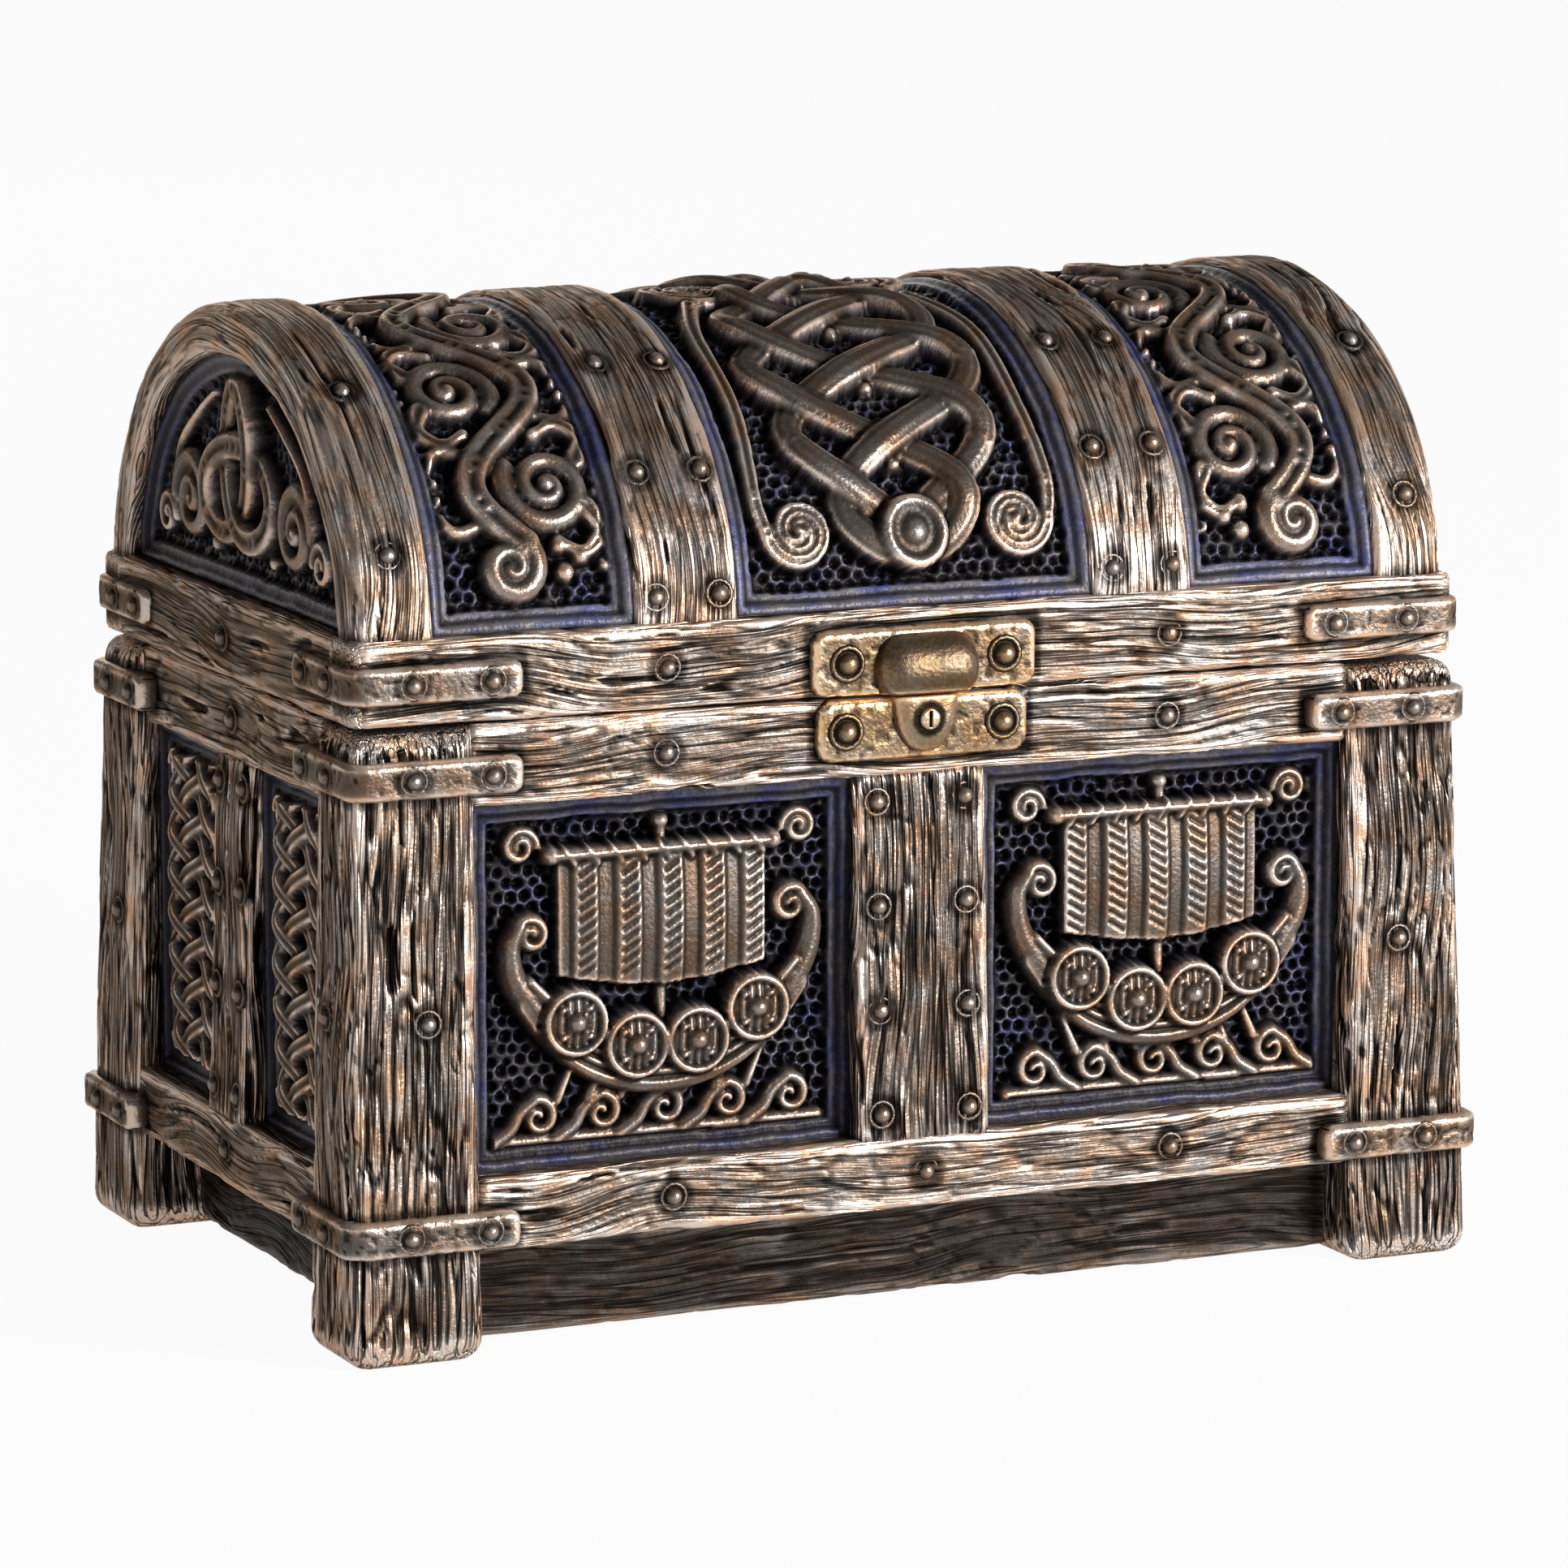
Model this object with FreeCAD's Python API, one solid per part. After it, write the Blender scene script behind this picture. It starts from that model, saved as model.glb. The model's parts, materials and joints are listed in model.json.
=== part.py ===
import FreeCAD, Part
import math
import os

# Trinket chest with a barrel lid, all sizes in millimetres.
# The origin is on the floor under the middle of the chest: +X runs along its
# length, -Y is its front with the latch, and +Z is up.

# Length and depth over the feet, and height of the base
LENGTH = 128.8
DEPTH = 82.0
BASE_TOP = 64.7

# Corner posts, which taper from the feet to the seam
POST_WIDTH_X = 14.9
POST_WIDTH_Y = 14.0
POST_TAPER_X = 1.8
POST_TAPER_Y = 2.3
POST_SETDOWN = 0.3
FOOT_ROUND = 2.2

# Base frame: rails and stiles between the posts
FRAME_DEPTH_X = 6.0
FRAME_DEPTH_Y = 6.1
TOP_RAIL_HEIGHT = 8.4
BOTTOM_RAIL_BASE = 11.0
BOTTOM_RAIL_HEIGHT = 7.5
RAIL_RECESS = 1.1
FRONT_STILE_WIDTH = 15.0
END_STILE_WIDTH = 10.5
TENON_LENGTH = 4.0
TENON_THICKNESS = 2.4
TENON_SHOULDER = 2.0
STILE_TENON_LENGTH = 1.4
STILE_TENON_MARGIN = 3.0

# Panels let into grooves of the frame
PANEL_THICKNESS = 2.0
PANEL_RECESS = 2.2
GROOVE_DEPTH = 1.4

# Lining box, floor board and the boards under the bottom rails
LINING_WALL = 2.4
LINING_FLOOR = 2.5
FLOOR_THICKNESS = 2.0
PLINTH_SETBACK_X = 8.4
PLINTH_SETBACK_Y = 6.0
PLINTH_THICKNESS = 3.5
PLINTH_LIFT = 1.0
PLINTH_TENON_LENGTH = 3.0

# Lid: rim frame, arched hoops and the vault under them
SEAM_GAP = 0.3
RIM_SETBACK_X = 0.1
RIM_SETBACK_Y = 0.6
RIM_HEIGHT = 8.7
RIM_END_THICKNESS = 5.0
RIM_EDGE_ROUND = 0.8
RIM_TONGUE_LENGTH = 2.5
SPRING_HEIGHT = 7.0
HOOP_SETBACK = 0.7
HOOP_RISE = 32.0
HOOP_THICKNESS = 5.4
END_HOOP_SETBACK = 0.5
END_HOOP_WIDTH = 8.6
MIDDLE_HOOP_CENTRE = 25.8
MIDDLE_HOOP_WIDTH = 11.4
LID_PANEL_RECESS = 1.6
VAULT_WALL = 2.2

# Main relief of the lid panels: border, vine with volutes, and plait of four strands.
# Places on a panel are given as (across, arc length from the crown).
RELIEF_RISE = 1.1
RELIEF_ROOT = 0.4
RELIEF_END_GAP = 4.5
BORDER_WIDTH = 2.0
VINE_PERIOD = 25.0
VINE_PHASE = 63.0
VINE_SWING = 4.6
VINE_STEM = 2.6
VOLUTE_RADIUS = 5.2
VOLUTE_OFFSET = 3.5
PLAIT_STRANDS = 4
PLAIT_PERIOD = 40.0
PLAIT_PHASE = 23.0
PLAIT_WAIST = 3.4
PLAIT_SWELL = 9.0
PLAIT_STRAND = 2.7
PLAIT_END_GAP = 6.0
ARC_STEP = 0.25
TOOL_REACH = 8.0

# Corner straps
STRAP_HEIGHT = 3.9
STRAP_PROUD = 1.0
STRAP_LEG_X = 19.0
STRAP_LEG_Y = 16.5
STRAP_CORNER_ROUND = 0.8
LOWER_STRAP_RISE = 2.6
UPPER_STRAP_DROP = 4.9
LID_STRAP_RISE = 4.25
LID_STRAP_PROUD = 0.8

# Nails: round heads on thin shanks
NAIL_HEAD_RADIUS = 0.95
NAIL_HEAD_HEIGHT = 0.6
NAIL_SHANK_RADIUS = 0.4
NAIL_SHANK_LENGTH = 3.0
STRAP_NAIL_STEPS = (7.0, 15.5)
STRAP_END_NAIL_STEPS = (6.5, 13.5)
POST_NAIL_LEVEL = 35.0
POST_NAIL_INSET = 8.0
STILE_NAIL_ROWS = 4
STILE_NAIL_END = 2.6
FRONT_STILE_NAIL_INSET = 2.5
END_STILE_NAIL_INSET = 1.85
MIDDLE_HOOP_NAIL_ANGLES = (7.5, 31.0, 56.0)
MIDDLE_HOOP_NAIL_SPREAD = 3.5
END_HOOP_NAIL_ANGLES = (18.0, 52.0)

# Latch: the hooded plate on the lid and the lock plate on the base
LATCH_PLATE_WIDTH = 25.5
LATCH_PLATE_HEIGHT = 7.0
LATCH_PLATE_THICKNESS = 0.9
LATCH_CORNER_ROUND = 1.3
HOOD_WIDTH = 11.8
HOOD_HEIGHT = 5.9
HOOD_DEPTH = 2.5
HOOD_ROUND = 1.8
LOCK_PLATE_WIDTH = 24.0
LOCK_PLATE_HEIGHT = 6.6
LOCK_CORNER_ROUND = 2.4
TONGUE_WIDTH = 7.5
TONGUE_HEIGHT = 6.0
TONGUE_DEPTH = 1.2
PLUG_RADIUS = 1.15
PLUG_PROUD = 0.4
PLUG_DROP = 2.3
PLUG_SLOT = 0.5
RIVET_HEAD_RADIUS = 1.5
RIVET_HEAD_HEIGHT = 0.9
RIVET_SHANK_RADIUS = 0.7
RIVET_SHANK_LENGTH = 3.2
RIVET_X = 8.9

# Hinges at the back
HINGE_MARGIN = 2.3
HINGE_WIDTH = 12.0
HINGE_LEAF_THICKNESS = 0.5
HINGE_LEAF_HEIGHT = 6.4
HINGE_LEAF_MARGIN = 0.5
KNUCKLE_RADIUS = 1.0
PIN_RADIUS = 0.5
LID_KNUCKLE_WIDTH = 4.0
STOP_ANGLE = 100.0
STOP_LENGTH = 1.5
STOP_THICKNESS = 0.9
HINGE_SCREW_X = 3.6
SCREW_HEAD_RADIUS = 0.8
SCREW_HEAD_HEIGHT = 0.4
SCREW_SHANK_RADIUS = 0.35
SCREW_SHANK_LENGTH = 2.6

# Clearances
JOINT_PLAY = 0.05
LINING_PLAY = 0.1
NAIL_PLAY = 0.05
PIN_PLAY = 0.04
KNUCKLE_GAP = 0.15
SWING_GAP = 0.3
STOP_GAP = 0.1

V = FreeCAD.Vector
X_AXIS = V(1, 0, 0)
Y_AXIS = V(0, 1, 0)
Z_AXIS = V(0, 0, 1)
ORIGIN = V(0, 0, 0)

# Heights and faces that follow from the sizes above
POST_FOOT_X = LENGTH / 2
POST_FOOT_Y = DEPTH / 2
POST_TOP_X = POST_FOOT_X - POST_TAPER_X
POST_TOP_Y = POST_FOOT_Y - POST_TAPER_Y
POST_INNER_X = POST_FOOT_X - POST_WIDTH_X
POST_INNER_Y = POST_FOOT_Y - POST_WIDTH_Y
POST_TOP = BASE_TOP - POST_SETDOWN
TOP_RAIL_BASE = BASE_TOP - TOP_RAIL_HEIGHT
BOTTOM_RAIL_TOP = BOTTOM_RAIL_BASE + BOTTOM_RAIL_HEIGHT
FLOOR_TOP = BOTTOM_RAIL_BASE + FLOOR_THICKNESS
FRAME_BACK_X = POST_TOP_X - FRAME_DEPTH_X
FRAME_BACK_Y = POST_TOP_Y - FRAME_DEPTH_Y
LINING_HALF_X = FRAME_BACK_X - LINING_PLAY
LINING_HALF_Y = FRAME_BACK_Y - LINING_PLAY
PLINTH_FACE_X = POST_FOOT_X - PLINTH_SETBACK_X
PLINTH_FACE_Y = POST_FOOT_Y - PLINTH_SETBACK_Y
PANEL_MIDDLE_X = (POST_INNER_X + FRONT_STILE_WIDTH / 2) / 2
RIM_HALF_X = POST_TOP_X - RIM_SETBACK_X
RIM_HALF_Y = POST_TOP_Y - RIM_SETBACK_Y
HOOP_HALF_SPAN = RIM_HALF_Y - HOOP_SETBACK
END_HOOP_OUTER = RIM_HALF_X - END_HOOP_SETBACK
LOWER_STRAP_LEVEL = BOTTOM_RAIL_BASE + LOWER_STRAP_RISE
UPPER_STRAP_LEVEL = BASE_TOP - UPPER_STRAP_DROP
HINGE_X = RIM_HALF_X + LID_STRAP_PROUD - STRAP_LEG_X - HINGE_MARGIN - HINGE_WIDTH / 2
LID_BASE = BASE_TOP + SEAM_GAP
RIM_TOP = LID_BASE + RIM_HEIGHT
SPRING = LID_BASE + SPRING_HEIGHT
HOOP_INNER_SPAN = HOOP_HALF_SPAN - HOOP_THICKNESS
HOOP_INNER_RISE = HOOP_RISE - HOOP_THICKNESS
PANEL_HALF_SPAN = HOOP_HALF_SPAN - LID_PANEL_RECESS
PANEL_RISE = HOOP_RISE - LID_PANEL_RECESS
VAULT_HALF_X = RIM_HALF_X - RIM_END_THICKNESS - LINING_PLAY
VAULT_HALF_Y = HOOP_INNER_SPAN - LINING_PLAY
VAULT_RISE = HOOP_INNER_RISE - LINING_PLAY


def post_face(foot, top, z):
    """Half distance between opposite post faces at height z."""
    return foot + (top - foot) * z / POST_TOP


def post_face_x(z):
    return post_face(POST_FOOT_X, POST_TOP_X, z)


def post_face_y(z):
    return post_face(POST_FOOT_Y, POST_TOP_Y, z)


TOP_MIDDLE = (TOP_RAIL_BASE + BASE_TOP) / 2
BOTTOM_MIDDLE = (BOTTOM_RAIL_BASE + BOTTOM_RAIL_TOP) / 2
TOP_RAIL_FACE_X = post_face_x(TOP_MIDDLE) - RAIL_RECESS
TOP_RAIL_FACE_Y = post_face_y(TOP_MIDDLE) - RAIL_RECESS
BOTTOM_RAIL_FACE_X = post_face_x(BOTTOM_MIDDLE) - RAIL_RECESS
BOTTOM_RAIL_FACE_Y = post_face_y(BOTTOM_MIDDLE) - RAIL_RECESS
PANEL_FACE_X = TOP_RAIL_FACE_X - PANEL_RECESS
PANEL_FACE_Y = TOP_RAIL_FACE_Y - PANEL_RECESS
TENON_MIDDLE_X = (POST_TOP_X + FRAME_BACK_X) / 2
TENON_MIDDLE_Y = (POST_TOP_Y + FRAME_BACK_Y) / 2
HINGE_AXIS_Y = RIM_HALF_Y + HINGE_LEAF_THICKNESS + SWING_GAP + KNUCKLE_RADIUS
HINGE_AXIS_Z = (BASE_TOP + LID_BASE) / 2


def box(x0, x1, y0, y1, z0, z1):
    return Part.makeBox(x1 - x0, y1 - y0, z1 - z0, V(x0, y0, z0))


def grown(x0, x1, y0, y1, z0, z1, play):
    """A box enlarged on every side by a clearance."""
    return box(x0 - play, x1 + play, y0 - play, y1 + play, z0 - play, z1 + play)


def mirror_x(shape):
    return shape.mirror(ORIGIN, X_AXIS)


def mirror_y(shape):
    return shape.mirror(ORIGIN, Y_AXIS)


def prism(points, direction):
    """A closed outline of points, swept along a direction."""
    outline = Part.makePolygon(points + points[:1])
    return Part.Face(outline).extrude(direction)


def join(first, *others):
    return first.fuse(list(others)).removeSplitter()


# Tenons of the rails and boards, and the sockets that take them

def long_rail_tenons(z0, z1, play):
    low, high = z0 + TENON_SHOULDER, z1 - TENON_SHOULDER
    y0 = -TENON_MIDDLE_Y - TENON_THICKNESS / 2
    y1 = -TENON_MIDDLE_Y + TENON_THICKNESS / 2
    left = grown(-POST_INNER_X - TENON_LENGTH, -POST_INNER_X, y0, y1, low, high, play)
    return [left, mirror_x(left)]


def end_rail_tenons(z0, z1, play):
    low, high = z0 + TENON_SHOULDER, z1 - TENON_SHOULDER
    x0 = -TENON_MIDDLE_X - TENON_THICKNESS / 2
    x1 = -TENON_MIDDLE_X + TENON_THICKNESS / 2
    front = grown(x0, x1, -POST_INNER_Y - TENON_LENGTH, -POST_INNER_Y, low, high, play)
    return [front, mirror_y(front)]


def stile_tenon_limits(width):
    half = width / 2 - STILE_TENON_MARGIN
    return -half, half


def front_stile_tenons(play):
    x0, x1 = stile_tenon_limits(FRONT_STILE_WIDTH)
    y0 = -TENON_MIDDLE_Y - TENON_THICKNESS / 2
    y1 = -TENON_MIDDLE_Y + TENON_THICKNESS / 2
    upper = grown(x0, x1, y0, y1, TOP_RAIL_BASE, TOP_RAIL_BASE + STILE_TENON_LENGTH, play)
    lower = grown(x0, x1, y0, y1, BOTTOM_RAIL_TOP - STILE_TENON_LENGTH, BOTTOM_RAIL_TOP, play)
    return [upper, lower]


def end_stile_tenons(play):
    y0, y1 = stile_tenon_limits(END_STILE_WIDTH)
    x0 = -TENON_MIDDLE_X - TENON_THICKNESS / 2
    x1 = -TENON_MIDDLE_X + TENON_THICKNESS / 2
    upper = grown(x0, x1, y0, y1, TOP_RAIL_BASE, TOP_RAIL_BASE + STILE_TENON_LENGTH, play)
    lower = grown(x0, x1, y0, y1, BOTTOM_RAIL_TOP - STILE_TENON_LENGTH, BOTTOM_RAIL_TOP, play)
    return [upper, lower]


def front_plinth_board(play):
    reach = POST_INNER_X + PLINTH_TENON_LENGTH
    inner = -PLINTH_FACE_Y + PLINTH_THICKNESS
    return grown(-reach, reach, -PLINTH_FACE_Y, inner, PLINTH_LIFT, BOTTOM_RAIL_BASE, play)


def end_plinth_board(play):
    reach = POST_INNER_Y + PLINTH_TENON_LENGTH
    inner = -PLINTH_FACE_X + PLINTH_THICKNESS
    return grown(-PLINTH_FACE_X, inner, -reach, reach, PLINTH_LIFT, BOTTOM_RAIL_BASE, play)


def front_panel_board(play):
    """Left one of the two front panels, with its edges in the grooves."""
    x0 = -POST_INNER_X - GROOVE_DEPTH
    x1 = -FRONT_STILE_WIDTH / 2 + GROOVE_DEPTH
    z0, z1 = BOTTOM_RAIL_TOP - GROOVE_DEPTH, TOP_RAIL_BASE + GROOVE_DEPTH
    return grown(x0, x1, -PANEL_FACE_Y, -PANEL_FACE_Y + PANEL_THICKNESS, z0, z1, play)


def end_panel_board(play):
    """Front one of the two panels of the left end."""
    y0 = -POST_INNER_Y - GROOVE_DEPTH
    y1 = -END_STILE_WIDTH / 2 + GROOVE_DEPTH
    z0, z1 = BOTTOM_RAIL_TOP - GROOVE_DEPTH, TOP_RAIL_BASE + GROOVE_DEPTH
    return grown(-PANEL_FACE_X, -PANEL_FACE_X + PANEL_THICKNESS, y0, y1, z0, z1, play)


# Base pieces

def post_block():
    """Front left post before its sockets are cut: a tapered corner block."""
    def ring(z):
        face_x, face_y = post_face_x(z), post_face_y(z)
        corners = [V(-face_x, -face_y, z), V(-POST_INNER_X, -face_y, z),
                   V(-POST_INNER_X, -POST_INNER_Y, z), V(-face_x, -POST_INNER_Y, z)]
        return Part.makePolygon(corners + corners[:1])
    block = Part.makeLoft([ring(0), ring(POST_TOP)], True, True)
    floor_edges = [edge for edge in block.Edges if edge.BoundBox.ZMax < FOOT_ROUND / 2]
    return block.makeFillet(FOOT_ROUND, floor_edges)


def make_post():
    """Front left post with the lining, rails, panels and boards let into it."""
    sockets = [box(-FRAME_BACK_X, FRAME_BACK_X, -FRAME_BACK_Y, FRAME_BACK_Y, BOTTOM_RAIL_BASE, BASE_TOP)]
    for z0, z1 in ((TOP_RAIL_BASE, BASE_TOP), (BOTTOM_RAIL_BASE, BOTTOM_RAIL_TOP)):
        sockets += long_rail_tenons(z0, z1, JOINT_PLAY)
        sockets += end_rail_tenons(z0, z1, JOINT_PLAY)
    sockets += [front_plinth_board(JOINT_PLAY), end_plinth_board(JOINT_PLAY)]
    sockets += [front_panel_board(JOINT_PLAY), end_panel_board(JOINT_PLAY)]
    return post_block().cut(sockets)


def long_rail_block(z0, z1, face_y):
    return box(-POST_INNER_X, POST_INNER_X, -face_y, -FRAME_BACK_Y, z0, z1)


def end_rail_block(z0, z1, face_x):
    return box(-face_x, -FRAME_BACK_X, -POST_INNER_Y, POST_INNER_Y, z0, z1)


def make_long_rail(z0, z1, face_y):
    rail = join(long_rail_block(z0, z1, face_y), *long_rail_tenons(z0, z1, 0))
    board = front_panel_board(JOINT_PLAY)
    return rail.cut([board, mirror_x(board)] + front_stile_tenons(JOINT_PLAY))


def make_end_rail(z0, z1, face_x):
    rail = join(end_rail_block(z0, z1, face_x), *end_rail_tenons(z0, z1, 0))
    board = end_panel_board(JOINT_PLAY)
    return rail.cut([board, mirror_y(board)] + end_stile_tenons(JOINT_PLAY))


def make_front_stile():
    half = FRONT_STILE_WIDTH / 2
    side = [V(-half, -TOP_RAIL_FACE_Y, TOP_RAIL_BASE), V(-half, -BOTTOM_RAIL_FACE_Y, BOTTOM_RAIL_TOP),
            V(-half, -FRAME_BACK_Y, BOTTOM_RAIL_TOP), V(-half, -FRAME_BACK_Y, TOP_RAIL_BASE)]
    stile = join(prism(side, V(FRONT_STILE_WIDTH, 0, 0)), *front_stile_tenons(0))
    board = front_panel_board(JOINT_PLAY)
    return stile.cut([board, mirror_x(board)])


def make_end_stile():
    half = END_STILE_WIDTH / 2
    side = [V(-TOP_RAIL_FACE_X, -half, TOP_RAIL_BASE), V(-BOTTOM_RAIL_FACE_X, -half, BOTTOM_RAIL_TOP),
            V(-FRAME_BACK_X, -half, BOTTOM_RAIL_TOP), V(-FRAME_BACK_X, -half, TOP_RAIL_BASE)]
    stile = join(prism(side, V(0, END_STILE_WIDTH, 0)), *end_stile_tenons(0))
    board = end_panel_board(JOINT_PLAY)
    return stile.cut([board, mirror_y(board)])


def make_floor_board():
    return box(-LINING_HALF_X, LINING_HALF_X, -LINING_HALF_Y, LINING_HALF_Y, BOTTOM_RAIL_BASE, FLOOR_TOP)


def make_inner_box():
    inner_x, inner_y = LINING_HALF_X - LINING_WALL, LINING_HALF_Y - LINING_WALL
    outer = box(-LINING_HALF_X, LINING_HALF_X, -LINING_HALF_Y, LINING_HALF_Y, FLOOR_TOP, BASE_TOP)
    return outer.cut(box(-inner_x, inner_x, -inner_y, inner_y, FLOOR_TOP + LINING_FLOOR, BASE_TOP))


# Corner straps

def strap_blank(outer_x, outer_y, level, depth):
    """Front left corner strap with round tips, before it is fitted to the wood."""
    radius = STRAP_HEIGHT / 2
    low, high = level - radius, level + radius
    tip_x, tip_y = -outer_x + STRAP_LEG_X - radius, -outer_y + STRAP_LEG_Y - radius
    front = box(-outer_x, tip_x, -outer_y, -outer_y + depth, low, high)
    front_tip = Part.makeCylinder(radius, depth, V(tip_x, -outer_y, level), Y_AXIS)
    end = box(-outer_x, -outer_x + depth, -outer_y, tip_y, low, high)
    end_tip = Part.makeCylinder(radius, depth, V(-outer_x, tip_y, level), X_AXIS)
    strap = join(front, end, front_tip, end_tip)
    corner = [edge for edge in strap.Edges
              if edge.BoundBox.XMax < -outer_x + STRAP_CORNER_ROUND / 2
              and edge.BoundBox.YMax < -outer_y + STRAP_CORNER_ROUND / 2]
    return strap.makeFillet(STRAP_CORNER_ROUND, corner)


def four_corners(shape):
    left = [shape, mirror_y(shape)]
    return left + [mirror_x(piece) for piece in left]


def strap_faces(level):
    return post_face_x(level) + STRAP_PROUD, post_face_y(level) + STRAP_PROUD


def make_base_straps(level, long_rail, end_rail):
    """Straps over the posts; they step down onto the rails beside them."""
    outer_x, outer_y = strap_faces(level)
    depth = STRAP_PROUD + 2 * RAIL_RECESS
    blocks = [post_block(), long_rail_block(*long_rail), end_rail_block(*end_rail)]
    return four_corners(strap_blank(outer_x, outer_y, level, depth).cut(blocks))


def make_lid_straps(rails):
    outer_x, outer_y = RIM_HALF_X + LID_STRAP_PROUD, RIM_HALF_Y + LID_STRAP_PROUD
    level = LID_BASE + LID_STRAP_RISE
    return four_corners(strap_blank(outer_x, outer_y, level, LID_STRAP_PROUD).cut(rails))


# Lid pieces

def arch(half_span, rise, x0, x1):
    """A solid elliptic cylinder along X, centred at the springing of the lid."""
    centre = V(x0, 0, SPRING)
    across, up = V(x0, half_span, SPRING), V(x0, 0, SPRING + rise)
    first, second = (across, up) if half_span >= rise else (up, across)
    outline = Part.Wire(Part.Ellipse(first, second, centre).toShape())
    return Part.Face(outline).extrude(V(x1 - x0, 0, 0))


def above(shape, level):
    """The part of a shape that is higher than a level."""
    bounds = shape.BoundBox
    low = box(bounds.XMin - 1, bounds.XMax + 1, bounds.YMin - 1, bounds.YMax + 1, bounds.ZMin - 1, level)
    return shape.cut(low)


def half_tunnel(half_span, rise, x0, x1, base):
    """An arch on straight walls that reach down to a base height."""
    walls = box(x0, x1, -half_span, half_span, base, SPRING)
    return join(above(arch(half_span, rise, x0, x1), SPRING), walls)


def make_hoop(x0, x1):
    ring = arch(HOOP_HALF_SPAN, HOOP_RISE, x0, x1).cut(arch(HOOP_INNER_SPAN, HOOP_INNER_RISE, x0, x1))
    return above(ring, RIM_TOP)


def lid_angle(along):
    """The angle of the panels' ellipse at an arc length from the crown."""
    angle, left = 0.0, abs(along)
    while left > 0:
        step = min(left, ARC_STEP)
        angle += step / math.hypot(PANEL_HALF_SPAN * math.cos(angle), PANEL_RISE * math.sin(angle))
        left -= step
    return math.copysign(angle, along)


def lid_point(x, along):
    """A point of the lid panels' outer face."""
    angle = lid_angle(along)
    return V(x, PANEL_HALF_SPAN * math.sin(angle), SPRING + PANEL_RISE * math.cos(angle))


def lid_normal(along):
    """The direction that leads straight out of the panels' outer face."""
    angle = lid_angle(along)
    return V(0, math.sin(angle) / PANEL_HALF_SPAN, math.cos(angle) / PANEL_RISE).normalize()


def panel_reach():
    """The arc length from the crown to the rim."""
    along = 0.0
    while lid_point(0, along).z > RIM_TOP:
        along += ARC_STEP
    return along


def relief_bar(first, second, width):
    """A bar square to the panel, from one place to another, tall enough to be trimmed."""
    normal = lid_normal((first[1] + second[1]) / 2)
    start, end = lid_point(*first), lid_point(*second)
    foot = (start + end) * 0.5 - normal * TOOL_REACH
    run = end - start
    run = (run - normal * run.dot(normal)).normalize()
    ahead, aside = run * (width / 2), normal.cross(run) * (width / 2)
    corners = [start - ahead - aside, end + ahead - aside, end + ahead + aside, start - ahead + aside]
    return prism([c - normal * (c - foot).dot(normal) for c in corners], normal * (2 * TOOL_REACH))


def relief_disc(place, radius):
    normal = lid_normal(place[1])
    return Part.makeCylinder(radius, 2 * TOOL_REACH, lid_point(*place) - normal * TOOL_REACH, normal)


def relief_line(places, width):
    return [relief_bar(first, second, width) for first, second in zip(places, places[1:])]


def border_tools(x0, x1):
    low, high = RIM_TOP, RIM_TOP + BORDER_WIDTH
    span = PANEL_HALF_SPAN + TOOL_REACH
    top = SPRING + PANEL_RISE + TOOL_REACH
    left = box(x0, x0 + BORDER_WIDTH, -span, span, low, top)
    right = box(x1 - BORDER_WIDTH, x1, -span, span, low, top)
    return [left, right, box(x0, x1, -span, span, low, high)]


def vine_tools(centre):
    """A stem that swings from side to side, with a volute in each bay."""
    reach = panel_reach() - RELIEF_END_GAP
    turn = VINE_PERIOD / 2
    first = (0.25 - VINE_PHASE / 360) * VINE_PERIOD
    bays = [n for n in range(-9, 10) if abs(first + n * turn) < reach]
    stem = [(centre + VINE_SWING * (1 if n % 2 == 0 else -1), first + n * turn) for n in bays]
    volutes = [(2 * centre - x + math.copysign(VINE_SWING - VOLUTE_OFFSET, x - centre), v) for x, v in stem]
    return relief_line(stem, VINE_STEM) + [relief_disc(place, VOLUTE_RADIUS) for place in volutes]


def plait_tools():
    """Four strands that cross each other between their widest places."""
    reach = panel_reach() - PLAIT_END_GAP
    turn = PLAIT_PERIOD / 2
    tools = []
    for number in range(PLAIT_STRANDS):
        first = (0.25 - number / PLAIT_STRANDS - PLAIT_PHASE / 360) * PLAIT_PERIOD
        bends = [n for n in range(-9, 10) if abs(first + n * turn) < reach]
        places = []
        for n in bends:
            along = first + n * turn
            swing = PLAIT_WAIST + PLAIT_SWELL * abs(math.sin(along / reach * math.pi))
            places.append((swing if n % 2 == 0 else -swing, along))
        tools += relief_line(places, PLAIT_STRAND)
    return tools


def make_lid_panel(x0, x1, tools):
    inner = arch(HOOP_INNER_SPAN, HOOP_INNER_RISE, x0, x1)
    board = above(arch(PANEL_HALF_SPAN, PANEL_RISE, x0, x1).cut(inner), RIM_TOP)
    skin = arch(PANEL_HALF_SPAN + RELIEF_RISE, PANEL_RISE + RELIEF_RISE, x0, x1)
    skin = above(skin.cut(arch(PANEL_HALF_SPAN - RELIEF_ROOT, PANEL_RISE - RELIEF_ROOT, x0, x1)), RIM_TOP)
    relief = [skin.common(tool) for tool in border_tools(x0, x1) + tools]
    return join(board, *relief)


def make_vault():
    outer = half_tunnel(VAULT_HALF_Y, VAULT_RISE, -VAULT_HALF_X, VAULT_HALF_X, LID_BASE)
    inner_x = VAULT_HALF_X - VAULT_WALL
    inner = half_tunnel(VAULT_HALF_Y - VAULT_WALL, VAULT_RISE - VAULT_WALL, -inner_x, inner_x, LID_BASE)
    return outer.cut(inner)


def make_lid_end_panel():
    x1 = -VAULT_HALF_X - LINING_PLAY
    board = arch(VAULT_HALF_Y, VAULT_RISE, x1 - PANEL_THICKNESS, x1)
    return above(board, RIM_TOP)


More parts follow.
